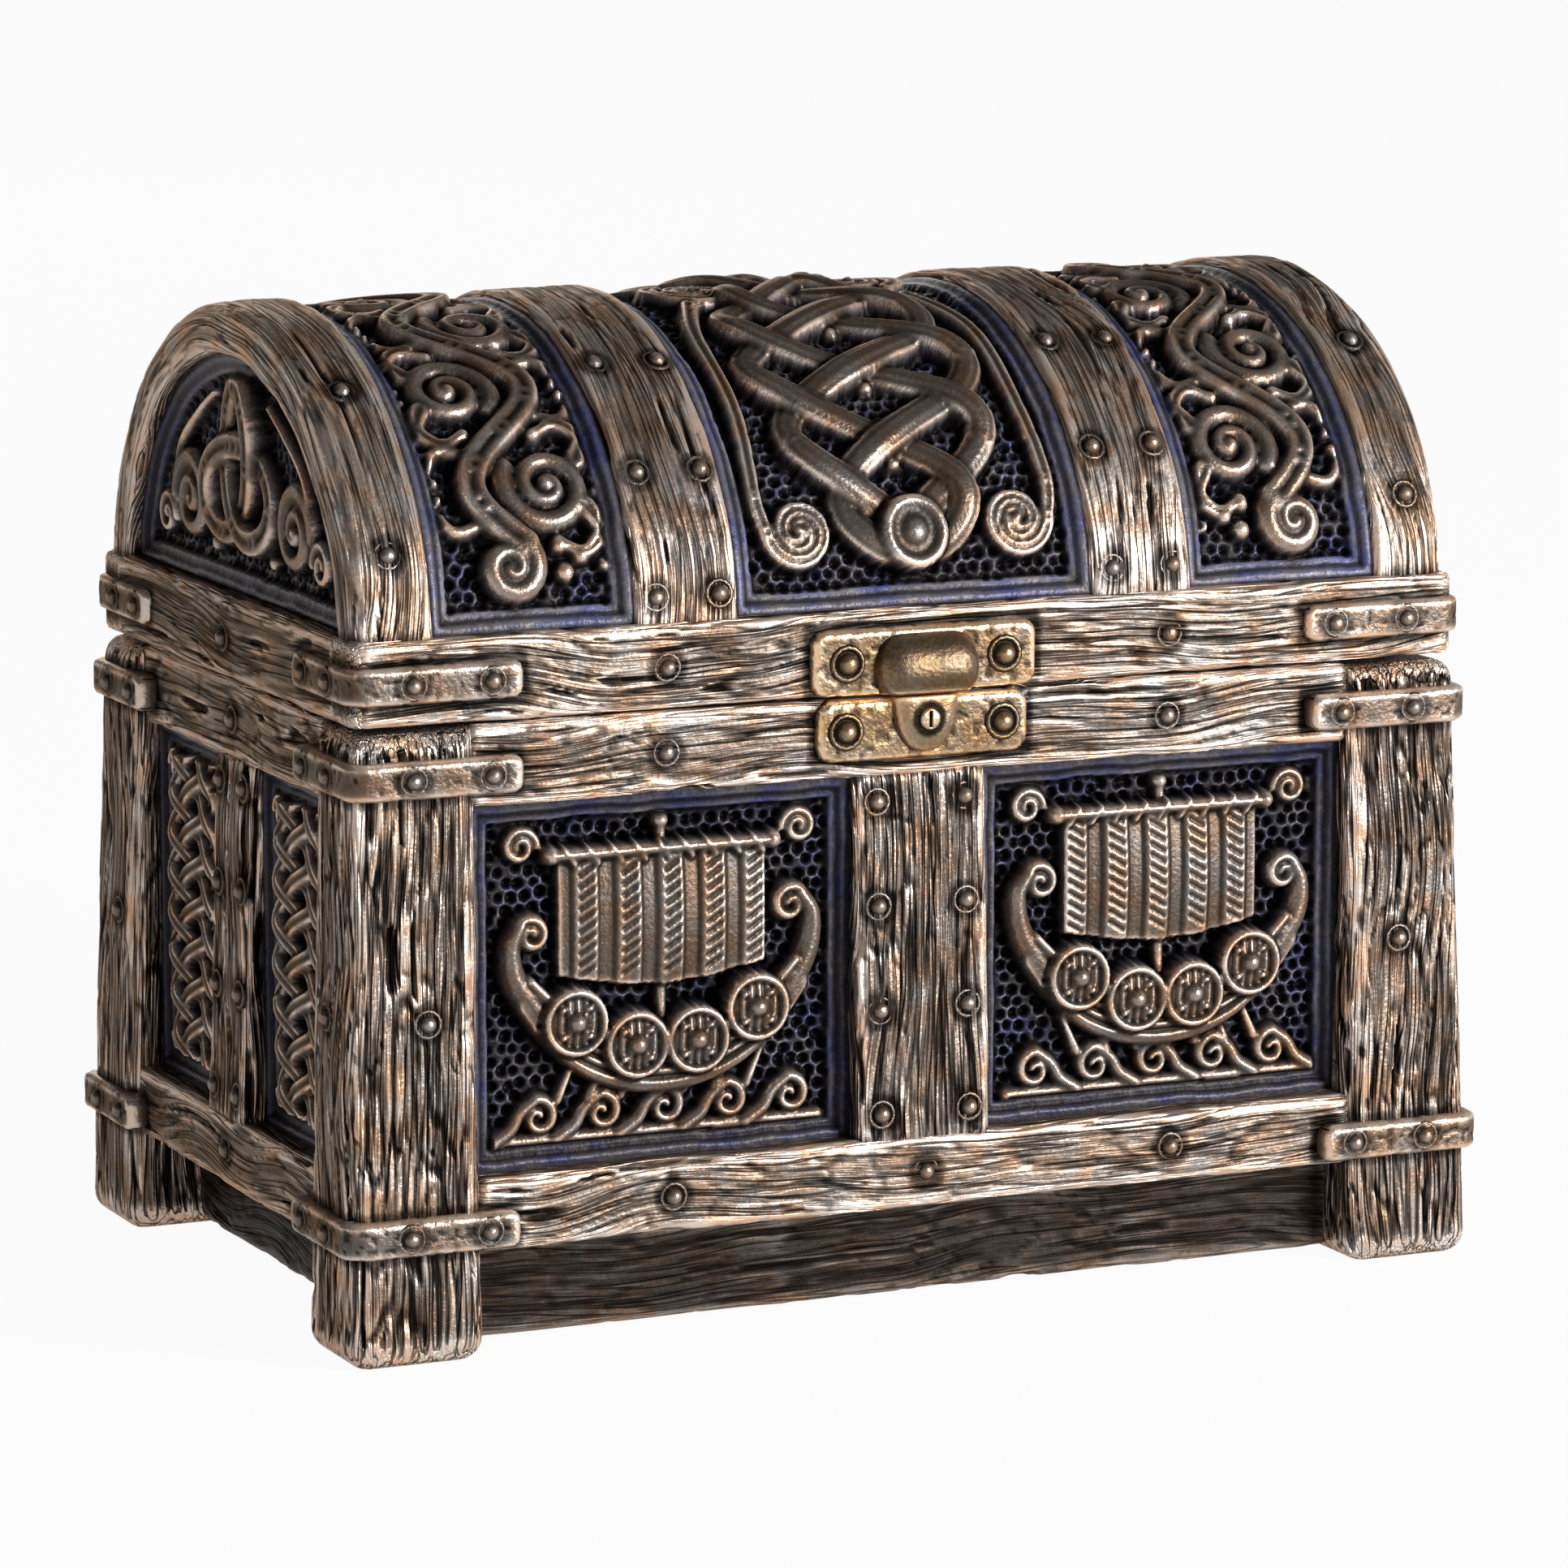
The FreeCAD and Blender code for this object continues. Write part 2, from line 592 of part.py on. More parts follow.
def rim_tongues(play):
    """Tongues of the left rim rail in the front and back rim rails."""
    middle = RIM_HALF_X - RIM_END_THICKNESS / 2
    x0, x1 = -middle - TENON_THICKNESS / 2, -middle + TENON_THICKNESS / 2
    z0, z1 = LID_BASE + TENON_SHOULDER, RIM_TOP - TENON_SHOULDER
    front = grown(x0, x1, -HOOP_INNER_SPAN - RIM_TONGUE_LENGTH, -HOOP_INNER_SPAN, z0, z1, play)
    return [front, mirror_y(front)]


def make_long_rim_rail():
    rail = box(-RIM_HALF_X, RIM_HALF_X, -RIM_HALF_Y, -HOOP_INNER_SPAN, LID_BASE, RIM_TOP)
    lip = [edge for edge in rail.Edges
           if edge.BoundBox.YMax < -HOOP_HALF_SPAN and edge.BoundBox.ZMax < SPRING]
    rail = rail.makeFillet(RIM_EDGE_ROUND, lip)
    tongues = rim_tongues(JOINT_PLAY)
    return rail.cut(tongues + [mirror_x(tongue) for tongue in tongues])


def make_end_rim_rail():
    inner = -RIM_HALF_X + RIM_END_THICKNESS
    rail = box(-RIM_HALF_X, inner, -HOOP_INNER_SPAN, HOOP_INNER_SPAN, LID_BASE, RIM_TOP)
    lip = [edge for edge in rail.Edges if edge.BoundBox.XMax < inner and edge.BoundBox.ZMax < SPRING]
    lip = [edge for edge in lip if edge.BoundBox.YLength > HOOP_INNER_SPAN]
    rail = rail.makeFillet(RIM_EDGE_ROUND, lip)
    return join(rail, *rim_tongues(0))


# Nails, rivets and screws: a round head on a shank, each with its drilled hole

def fastener(head_radius, head_height, shank_radius, shank_length):
    """A fastener along +Z with the underside of its head at the origin."""
    dome = (head_radius ** 2 + head_height ** 2) / (2 * head_height)
    head = Part.makeSphere(dome, V(0, 0, head_height - dome))
    cap = Part.makeCylinder(dome, head_height, ORIGIN, Z_AXIS)
    shank = Part.makeCylinder(shank_radius, shank_length, V(0, 0, -shank_length), Z_AXIS)
    return join(head.common(cap), shank)


def placed(shape, point, direction):
    copy = shape.copy()
    copy.Placement = FreeCAD.Placement(point, FreeCAD.Rotation(Z_AXIS, direction))
    return copy


def drilled(piece, seats, shank_radius, shank_length):
    """A piece with the holes of those fasteners that reach into it."""
    holes = []
    for point, direction in seats:
        inward = direction * -1
        start = point + direction * shank_length
        hole = Part.makeCylinder(shank_radius + NAIL_PLAY, 2 * shank_length + NAIL_PLAY, start, inward)
        if hole.BoundBox.intersect(piece.BoundBox):
            holes.append(hole)
    return piece.cut(holes) if holes else piece


def both_x(seats):
    return seats + [(V(-p.x, p.y, p.z), V(-d.x, d.y, d.z)) for p, d in seats]


def both_y(seats):
    return seats + [(V(p.x, -p.y, p.z), V(d.x, -d.y, d.z)) for p, d in seats]


def strap_nail_seats(outer_x, outer_y, level):
    front = [(V(-outer_x + step, -outer_y, level), V(0, -1, 0)) for step in STRAP_NAIL_STEPS]
    end = [(V(-outer_x, -outer_y + step, level), V(-1, 0, 0)) for step in STRAP_END_NAIL_STEPS]
    return both_y(both_x(front + end))


def post_nail_seats():
    face_x, face_y = post_face_x(POST_NAIL_LEVEL), post_face_y(POST_NAIL_LEVEL)
    lean_x = (POST_FOOT_X - POST_TOP_X) / POST_TOP
    lean_y = (POST_FOOT_Y - POST_TOP_Y) / POST_TOP
    front = (V(-face_x + POST_NAIL_INSET, -face_y, POST_NAIL_LEVEL), V(0, -1, lean_y).normalize())
    end = (V(-face_x, -face_y + POST_NAIL_INSET, POST_NAIL_LEVEL), V(-1, 0, lean_x).normalize())
    return both_y(both_x([front, end]))


def rail_nail_seats():
    top = (V(-PANEL_MIDDLE_X, -TOP_RAIL_FACE_Y, TOP_MIDDLE), V(0, -1, 0))
    bottom = (V(-PANEL_MIDDLE_X, -BOTTOM_RAIL_FACE_Y, BOTTOM_MIDDLE), V(0, -1, 0))
    centre = (V(0, -BOTTOM_RAIL_FACE_Y, BOTTOM_MIDDLE), V(0, -1, 0))
    end_top = (V(-TOP_RAIL_FACE_X, 0, TOP_MIDDLE), V(-1, 0, 0))
    end_bottom = (V(-BOTTOM_RAIL_FACE_X, 0, BOTTOM_MIDDLE), V(-1, 0, 0))
    return both_x([top]) + both_y(both_x([bottom]) + [centre]) + both_x([end_top, end_bottom])


def stile_nail_seats():
    """Two columns of nails down each stile, square to its sloping face."""
    low, high = BOTTOM_RAIL_TOP + STILE_NAIL_END, TOP_RAIL_BASE - STILE_NAIL_END
    span = TOP_RAIL_BASE - BOTTOM_RAIL_TOP
    slope_y = (BOTTOM_RAIL_FACE_Y - TOP_RAIL_FACE_Y) / span
    slope_x = (BOTTOM_RAIL_FACE_X - TOP_RAIL_FACE_X) / span
    column_x = FRONT_STILE_WIDTH / 2 - FRONT_STILE_NAIL_INSET
    column_y = END_STILE_WIDTH / 2 - END_STILE_NAIL_INSET
    front, end = [], []
    for row in range(STILE_NAIL_ROWS):
        z = low + (high - low) * row / (STILE_NAIL_ROWS - 1)
        drop = TOP_RAIL_BASE - z
        face_y, face_x = TOP_RAIL_FACE_Y + slope_y * drop, TOP_RAIL_FACE_X + slope_x * drop
        front.append((V(-column_x, -face_y, z), V(0, -1, slope_y).normalize()))
        end.append((V(-face_x, -column_y, z), V(-1, 0, slope_x).normalize()))
    return both_y(both_x(front + end))


def hoop_seat(x, angle):
    """A seat on the front of a hoop, square to its curve."""
    turn = math.radians(angle)
    point = V(x, -HOOP_HALF_SPAN * math.cos(turn), SPRING + HOOP_RISE * math.sin(turn))
    normal = V(0, -math.cos(turn) / HOOP_HALF_SPAN, math.sin(turn) / HOOP_RISE)
    return point, normal.normalize()


def hoop_nail_seats():
    pairs = (MIDDLE_HOOP_CENTRE - MIDDLE_HOOP_NAIL_SPREAD, MIDDLE_HOOP_CENTRE + MIDDLE_HOOP_NAIL_SPREAD)
    seats = [hoop_seat(-x, angle) for x in pairs for angle in MIDDLE_HOOP_NAIL_ANGLES]
    middle = END_HOOP_OUTER - END_HOOP_WIDTH / 2
    seats += [hoop_seat(-middle, angle) for angle in END_HOOP_NAIL_ANGLES]
    return both_y(both_x(seats))


def lid_nail_seats():
    outer_x, outer_y = RIM_HALF_X + LID_STRAP_PROUD, RIM_HALF_Y + LID_STRAP_PROUD
    level = LID_BASE + LID_STRAP_RISE
    front = (V(-PANEL_MIDDLE_X, -RIM_HALF_Y, level), V(0, -1, 0))
    end = (V(-RIM_HALF_X, 0, level), V(-1, 0, 0))
    rim = both_x([front, end])
    return strap_nail_seats(outer_x, outer_y, level) + rim + hoop_nail_seats()


# Latch on the front

def front_plate(width, z0, z1, face_y, thickness):
    return box(-width / 2, width / 2, face_y - thickness, face_y, z0, z1)


def rounded_corners(plate, radius, at_height):
    """A plate with its two corners at a height rounded off."""
    corners = [edge for edge in plate.Edges
               if edge.BoundBox.ZLength < radius / 2 and edge.BoundBox.XLength < radius / 2
               and abs(edge.BoundBox.ZMin - at_height) < radius / 2]
    return plate.makeFillet(radius, corners)


def make_latch_plate():
    """Plate on the lid with a pillow-shaped hood over the lock."""
    top = LID_BASE + LATCH_PLATE_HEIGHT
    plate = front_plate(LATCH_PLATE_WIDTH, LID_BASE, top, -RIM_HALF_Y, LATCH_PLATE_THICKNESS)
    plate = rounded_corners(plate, LATCH_CORNER_ROUND, top)
    face = -RIM_HALF_Y - LATCH_PLATE_THICKNESS
    hood = front_plate(HOOD_WIDTH, LID_BASE, LID_BASE + HOOD_HEIGHT, face, HOOD_DEPTH)
    outer = [edge for edge in hood.Edges if edge.BoundBox.YMin < face - HOOD_DEPTH / 2]
    rounded = [edge for edge in outer if edge.BoundBox.ZMax > LID_BASE + HOOD_HEIGHT / 2]
    hood = hood.makeFillet(HOOD_ROUND, rounded)
    return join(plate, hood)


LOCK_TOP = BASE_TOP
LOCK_FACE = -TOP_RAIL_FACE_Y - LATCH_PLATE_THICKNESS
PLUG_LEVEL = LOCK_TOP - PLUG_DROP


def make_plug_hole():
    radius = PLUG_RADIUS + JOINT_PLAY
    return Part.makeCylinder(radius, 2 * TONGUE_DEPTH, V(0, LOCK_FACE, PLUG_LEVEL), V(0, -1, 0))


def make_lock_plate():
    base = LOCK_TOP - LOCK_PLATE_HEIGHT
    plate = front_plate(LOCK_PLATE_WIDTH, base, LOCK_TOP, -TOP_RAIL_FACE_Y, LATCH_PLATE_THICKNESS)
    return rounded_corners(plate, LOCK_CORNER_ROUND, base)


def make_lock_tongue():
    """Half-round boss on the lock plate, drilled for the plug."""
    radius = TONGUE_WIDTH / 2
    middle = LOCK_TOP - TONGUE_HEIGHT + radius
    upper = front_plate(TONGUE_WIDTH, middle, LOCK_TOP, LOCK_FACE, TONGUE_DEPTH)
    disc = Part.makeCylinder(radius, TONGUE_DEPTH, V(0, LOCK_FACE, middle), V(0, -1, 0))
    lower = disc.cut(front_plate(TONGUE_WIDTH, middle, middle + TONGUE_WIDTH, LOCK_FACE, TONGUE_DEPTH))
    return join(upper, lower).cut(make_plug_hole())


def make_lock_plug():
    length = TONGUE_DEPTH + PLUG_PROUD
    plug = Part.makeCylinder(PLUG_RADIUS, length, V(0, LOCK_FACE, PLUG_LEVEL), V(0, -1, 0))
    face = LOCK_FACE - length
    slot = box(-PLUG_SLOT / 2, PLUG_SLOT / 2, face, face + PLUG_PROUD,
               PLUG_LEVEL - PLUG_RADIUS, PLUG_LEVEL + PLUG_RADIUS)
    return plug.cut(slot)


def rivet_seats(face_y, z0, z1):
    return both_x([(V(-RIVET_X, face_y, (z0 + z1) / 2), V(0, -1, 0))])


# Hinges on the back

def knuckle(x0, x1):
    return Part.makeCylinder(KNUCKLE_RADIUS, x1 - x0, V(x0, HINGE_AXIS_Y, HINGE_AXIS_Z), X_AXIS)


def pin_bore():
    reach = HINGE_X + HINGE_WIDTH
    start = V(-reach, HINGE_AXIS_Y, HINGE_AXIS_Z)
    return Part.makeCylinder(PIN_RADIUS + PIN_PLAY, 2 * reach, start, X_AXIS)


def hinge_ends():
    return HINGE_X - HINGE_WIDTH / 2, HINGE_X + HINGE_WIDTH / 2


def lid_knuckle_ends():
    return HINGE_X - LID_KNUCKLE_WIDTH / 2, HINGE_X + LID_KNUCKLE_WIDTH / 2


def make_base_leaf():
    """Right base leaf: a plate on the top rail with an outer pair of knuckles."""
    x0, x1 = hinge_ends()
    inner0, inner1 = lid_knuckle_ends()
    top = BASE_TOP - HINGE_LEAF_MARGIN
    face = TOP_RAIL_FACE_Y + HINGE_LEAF_THICKNESS
    leaf = box(x0, x1, TOP_RAIL_FACE_Y, face, top - HINGE_LEAF_HEIGHT, top)
    web_low = HINGE_AXIS_Z - KNUCKLE_RADIUS
    pieces = []
    for k0, k1 in ((x0, inner0 - KNUCKLE_GAP), (inner1 + KNUCKLE_GAP, x1)):
        pieces.append(knuckle(k0, k1))
        web = box(k0, k1, TOP_RAIL_FACE_Y, HINGE_AXIS_Y, web_low, web_low + HINGE_LEAF_THICKNESS)
        pieces.append(web)
    return join(leaf, *pieces).cut(pin_bore())


def make_stop():
    """Lug that swings against the base leaf when the lid is fully open."""
    inner0, inner1 = lid_knuckle_ends()
    near = TOP_RAIL_FACE_Y + HINGE_LEAF_THICKNESS + STOP_GAP
    lug = box(inner0, inner1, near, near + STOP_THICKNESS, HINGE_AXIS_Z - STOP_LENGTH, HINGE_AXIS_Z)
    lug.rotate(V(0, HINGE_AXIS_Y, HINGE_AXIS_Z), X_AXIS, STOP_ANGLE)
    return lug


def make_lid_leaf():
    """Right lid leaf: a plate on the rim with the middle knuckle and its stop."""
    x0, x1 = hinge_ends()
    inner0, inner1 = lid_knuckle_ends()
    low = LID_BASE + HINGE_LEAF_MARGIN
    face = RIM_HALF_Y + HINGE_LEAF_THICKNESS
    leaf = box(x0, x1, RIM_HALF_Y, face, low, low + HINGE_LEAF_HEIGHT)
    web_high = HINGE_AXIS_Z + KNUCKLE_RADIUS
    web = box(inner0, inner1, RIM_HALF_Y, HINGE_AXIS_Y, web_high - HINGE_LEAF_THICKNESS, web_high)
    return join(leaf, knuckle(inner0, inner1), web, make_stop()).cut(pin_bore())


def make_pin():
    x0, x1 = hinge_ends()
    return Part.makeCylinder(PIN_RADIUS, x1 - x0, V(x0, HINGE_AXIS_Y, HINGE_AXIS_Z), X_AXIS)


def hinge_screw_seats(face_y, z):
    right = [(V(HINGE_X - HINGE_SCREW_X, face_y, z), V(0, 1, 0)),
             (V(HINGE_X + HINGE_SCREW_X, face_y, z), V(0, 1, 0))]
    return both_x(right)


# Assembly: every piece by its node name

def base_nail_seats():
    seats = post_nail_seats() + rail_nail_seats() + stile_nail_seats()
    for level in (LOWER_STRAP_LEVEL, UPPER_STRAP_LEVEL):
        seats += strap_nail_seats(*strap_faces(level), level)
    return seats


NAIL = (NAIL_SHANK_RADIUS, NAIL_SHANK_LENGTH)
RIVET = (RIVET_SHANK_RADIUS, RIVET_SHANK_LENGTH)
SCREW = (SCREW_SHANK_RADIUS, SCREW_SHANK_LENGTH)


def with_holes(pieces, *drillings):
    """Each solid of each node drilled for its nails, rivets and screws."""
    done = {}
    for name, solids in pieces.items():
        for seats, shank in drillings:
            solids = [drilled(solid, seats, *shank) for solid in solids]
        done[name] = solids
    return done


def base_pieces():
    top_long = (TOP_RAIL_BASE, BASE_TOP, TOP_RAIL_FACE_Y)
    top_end = (TOP_RAIL_BASE, BASE_TOP, TOP_RAIL_FACE_X)
    bottom_long = (BOTTOM_RAIL_BASE, BOTTOM_RAIL_TOP, BOTTOM_RAIL_FACE_Y)
    bottom_end = (BOTTOM_RAIL_BASE, BOTTOM_RAIL_TOP, BOTTOM_RAIL_FACE_X)
    front_panel, end_panel = front_panel_board(0), end_panel_board(0)
    corners = ("front_left", "back_left", "front_right", "back_right")
    pieces = {"post_" + corner: [solid] for corner, solid in zip(corners, four_corners(make_post()))}
    pieces.update({"panel_" + corner: [solid] for corner, solid in zip(corners, four_corners(front_panel))})
    ends = ("left_front", "left_back", "right_front", "right_back")
    pieces.update({"panel_" + corner: [solid] for corner, solid in zip(ends, four_corners(end_panel))})
    long_pieces = {"top_rail": make_long_rail(*top_long), "bottom_rail": make_long_rail(*bottom_long),
                   "stile": make_front_stile(), "plinth": front_plinth_board(0)}
    for name, solid in long_pieces.items():
        pieces[name + "_front"] = [solid]
        pieces[name + "_back"] = [mirror_y(solid)]
    end_pieces = {"top_rail": make_end_rail(*top_end), "bottom_rail": make_end_rail(*bottom_end),
                  "stile": make_end_stile(), "plinth": end_plinth_board(0)}
    for name, solid in end_pieces.items():
        pieces[name + "_left"] = [solid]
        pieces[name + "_right"] = [mirror_x(solid)]
    pieces["floor_board"] = [make_floor_board()]
    pieces["inner_box"] = [make_inner_box()]
    pieces["upper_corner_straps"] = make_base_straps(UPPER_STRAP_LEVEL, top_long, top_end)
    pieces["lower_corner_straps"] = make_base_straps(LOWER_STRAP_LEVEL, bottom_long, bottom_end)
    pieces["lock_plate"] = [make_lock_plate()]
    pieces["lock_tongue"] = [make_lock_tongue()]
    pieces["lock_plug"] = [make_lock_plug()]
    leaf = make_base_leaf()
    pieces["hinge_base_leaves"] = [leaf, mirror_x(leaf)]
    return pieces


def lid_pieces():
    end_inner = END_HOOP_OUTER - END_HOOP_WIDTH
    middle_inner = MIDDLE_HOOP_CENTRE - MIDDLE_HOOP_WIDTH / 2
    middle_outer = MIDDLE_HOOP_CENTRE + MIDDLE_HOOP_WIDTH / 2
    end_hoop = make_hoop(-END_HOOP_OUTER, -end_inner)
    middle_hoop = make_hoop(-middle_outer, -middle_inner)
    side_tools = vine_tools(-(end_inner + middle_outer) / 2)
    side_panel = make_lid_panel(-end_inner + JOINT_PLAY, -middle_outer - JOINT_PLAY, side_tools)
    middle_panel = make_lid_panel(-middle_inner + JOINT_PLAY, middle_inner - JOINT_PLAY, plait_tools())
    end_panel = make_lid_end_panel()
    front_rail, left_rail = make_long_rim_rail(), make_end_rim_rail()
    leaf = make_lid_leaf()
    return {
        "rim_rail_front": [front_rail],
        "rim_rail_back": [mirror_y(front_rail)],
        "rim_rail_left": [left_rail],
        "rim_rail_right": [mirror_x(left_rail)],
        "lid_vault": [make_vault()],
        "end_hoop_left": [end_hoop],
        "end_hoop_right": [mirror_x(end_hoop)],
        "middle_hoop_left": [middle_hoop],
        "middle_hoop_right": [mirror_x(middle_hoop)],
        "lid_panel_left": [side_panel],
        "lid_panel_middle": [middle_panel],
        "lid_panel_right": [mirror_x(side_panel)],
        "lid_end_panel_left": [end_panel],
        "lid_end_panel_right": [mirror_x(end_panel)],
        "lid_corner_straps": make_lid_straps([front_rail, left_rail]),
        "latch_plate": [make_latch_plate()],
        "hinge_lid_leaves": [leaf, mirror_x(leaf)],
    }


def main():
    nail = fastener(NAIL_HEAD_RADIUS, NAIL_HEAD_HEIGHT, *NAIL)
    rivet = fastener(RIVET_HEAD_RADIUS, RIVET_HEAD_HEIGHT, *RIVET)
    screw = fastener(SCREW_HEAD_RADIUS, SCREW_HEAD_HEIGHT, *SCREW)
    lock_rivets = rivet_seats(LOCK_FACE, LOCK_TOP - LOCK_PLATE_HEIGHT, LOCK_TOP)
    latch_rivets = rivet_seats(-RIM_HALF_Y - LATCH_PLATE_THICKNESS, LID_BASE, LID_BASE + LATCH_PLATE_HEIGHT)
    leaf_half = HINGE_LEAF_MARGIN + HINGE_LEAF_HEIGHT / 2
    base_screws = hinge_screw_seats(TOP_RAIL_FACE_Y + HINGE_LEAF_THICKNESS, BASE_TOP - leaf_half)
    lid_screws = hinge_screw_seats(RIM_HALF_Y + HINGE_LEAF_THICKNESS, LID_BASE + leaf_half)
    base_nails, lid_nails = base_nail_seats(), lid_nail_seats()
    nodes = with_holes(base_pieces(), (base_nails, NAIL), (lock_rivets, RIVET), (base_screws, SCREW))
    nodes.update(with_holes(lid_pieces(), (lid_nails, NAIL), (latch_rivets, RIVET), (lid_screws, SCREW)))
    groups = {"base_nails": (nail, base_nails), "lid_nails": (nail, lid_nails),
              "lock_rivets": (rivet, lock_rivets), "latch_rivets": (rivet, latch_rivets),
              "hinge_base_screws": (screw, base_screws), "hinge_lid_screws": (screw, lid_screws)}
    for name, (shape, seats) in groups.items():
        nodes[name] = [placed(shape, point, direction) for point, direction in seats]
    nodes["hinge_pins"] = [make_pin(), mirror_x(make_pin())]
    os.makedirs("parts", exist_ok=True)
    for name, solids in nodes.items():
        shape = solids[0] if len(solids) == 1 else Part.makeCompound(solids)
        shape.exportStep(os.path.join("parts", name + ".step"))
        print(name, len(shape.Solids), "solids", round(shape.Volume, 1), "mm3")
    print(len(nodes), "nodes")


main()
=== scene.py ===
# %% [markdown]
# # A carved trinket chest
# This lesson dresses a small bronze-finished chest: nailed timbers with deep grain, carved panels with a
# dark blue ground, an arched lid, corner straps and a latch. The imported solids give every piece its place,
# so the first step loads them and keeps them, and every piece reads its box from them.

# %% Load the imported chest
import json
import math
import bpy
import numpy as np
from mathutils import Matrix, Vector

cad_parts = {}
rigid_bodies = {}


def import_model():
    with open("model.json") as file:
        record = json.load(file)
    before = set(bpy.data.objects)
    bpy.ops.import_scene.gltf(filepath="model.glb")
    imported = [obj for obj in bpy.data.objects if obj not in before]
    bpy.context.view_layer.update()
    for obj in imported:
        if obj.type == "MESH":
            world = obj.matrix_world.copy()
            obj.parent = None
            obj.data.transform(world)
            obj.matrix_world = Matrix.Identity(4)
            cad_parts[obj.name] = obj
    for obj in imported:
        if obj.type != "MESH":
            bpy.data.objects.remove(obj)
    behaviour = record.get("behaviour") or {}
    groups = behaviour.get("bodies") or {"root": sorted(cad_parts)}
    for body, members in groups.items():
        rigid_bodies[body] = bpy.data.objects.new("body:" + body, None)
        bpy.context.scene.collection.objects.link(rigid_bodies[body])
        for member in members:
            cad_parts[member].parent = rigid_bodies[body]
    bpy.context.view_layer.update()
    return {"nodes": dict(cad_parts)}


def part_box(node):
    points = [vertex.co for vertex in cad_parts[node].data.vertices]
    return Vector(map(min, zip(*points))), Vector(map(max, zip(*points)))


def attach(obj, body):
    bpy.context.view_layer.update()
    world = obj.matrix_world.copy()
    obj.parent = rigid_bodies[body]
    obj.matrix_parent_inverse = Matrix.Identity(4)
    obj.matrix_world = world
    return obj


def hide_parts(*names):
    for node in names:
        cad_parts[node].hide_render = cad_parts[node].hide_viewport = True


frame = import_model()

MM = 0.001

# %% [markdown]
# ## Camera
# The photograph looks at the chest's front from a little to the left and above, through a long lens.
# The angles and the distance were solved from the corners of the straps and the feet, so the camera is
# placed by turn, rise and distance about a point near the middle of the chest.

# %% Camera
VIEW_TURN = math.radians(-24.324)
VIEW_RISE = math.radians(9.788)
VIEW_DISTANCE = 0.767258
AIM_SIDE = 0.001461
AIM_HEIGHT = 0.04933
IMAGE_PIXELS = 1932
FOCAL_PIXELS = 8762.07
SENSOR_WIDTH = 36.0

towards_camera = Vector((math.sin(VIEW_TURN) * math.cos(VIEW_RISE),
                         -math.cos(VIEW_TURN) * math.cos(VIEW_RISE),
                         math.sin(VIEW_RISE)))
aim = Vector((AIM_SIDE * math.cos(VIEW_TURN), AIM_SIDE * math.sin(VIEW_TURN), AIM_HEIGHT))
bpy.ops.object.camera_add(location=aim + towards_camera * VIEW_DISTANCE)
camera = bpy.context.object
camera.rotation_euler = towards_camera.to_track_quat("Z", "Y").to_euler()
camera.data.sensor_width = SENSOR_WIDTH
camera.data.lens = FOCAL_PIXELS * SENSOR_WIDTH / IMAGE_PIXELS
bpy.context.scene.camera = camera
bpy.context.scene.view_settings.view_transform = "Standard"
print("lens", round(camera.data.lens, 1), "mm")

# %% [markdown]
# ## Studio light
# One wide lamp stands in front and to the right, as in the photograph, where the front is bright and the
# left end falls into shade. A weak lamp fills the left, another lights the back, and the world gives a low,
# even light.

# %% Studio light
LAMPS = (("key_lamp", (0.60, -0.88, 0.27), 0.45, 23.0),
         ("fill_lamp", (-0.9, -0.55, 0.35), 0.5, 0.10),
         ("back_lamp", (0.35, 1.4, 0.7), 0.6, 2.4))
LAMP_AIM = Vector((0, 0, 0.05))
WORLD_LIGHT = 0.09

for name, place, size, power in LAMPS:
    bpy.ops.object.light_add(type="AREA", location=place)
    lamp = bpy.context.object
    lamp.name = name
    lamp.data.size = size
    lamp.data.energy = power
    lamp.rotation_euler = (Vector(place) - LAMP_AIM).to_track_quat("Z", "Y").to_euler()

world = bpy.data.worlds.new("studio")
world.use_nodes = True
bpy.context.scene.world = world
low_light = world.node_tree.nodes["Background"]
low_light.inputs["Color"].default_value = (1.0, 1.0, 1.0, 1.0)
low_light.inputs["Strength"].default_value = WORLD_LIGHT
print(len(LAMPS), "lamps and the world are set")

# %% [markdown]
# ## Paper floor and wall
# The chest stands on plain white paper, and a low wall of the same paper runs round the table far behind it.
# The paper glows a little for rays from the camera and for those that metal or glass send on, so it reads as
# white while the shadow under the feet stays. It sends no extra light onto the chest.

# %% Paper floor and wall
FLOOR_RADIUS = 4.0
WALL_HEIGHT = 1.1
PAPER_GLOW = 0.95


def new_finish(name):
    finish = bpy.data.materials.new(name)
    finish.use_nodes = True
    nodes, links = finish.node_tree.nodes, finish.node_tree.links
    return finish, nodes, links, nodes["Principled BSDF"]


def fill_sockets(links, sockets, sources):
    for socket, source in zip(sockets, sources):
        if isinstance(source, float):
            socket.default_value = source
        else:
            links.new(source, socket)


def math_of(nodes, links, operation, *sources):
    step = nodes.new("ShaderNodeMath")
    step.operation = operation
    fill_sockets(links, step.inputs, sources)
    return step.outputs[0]


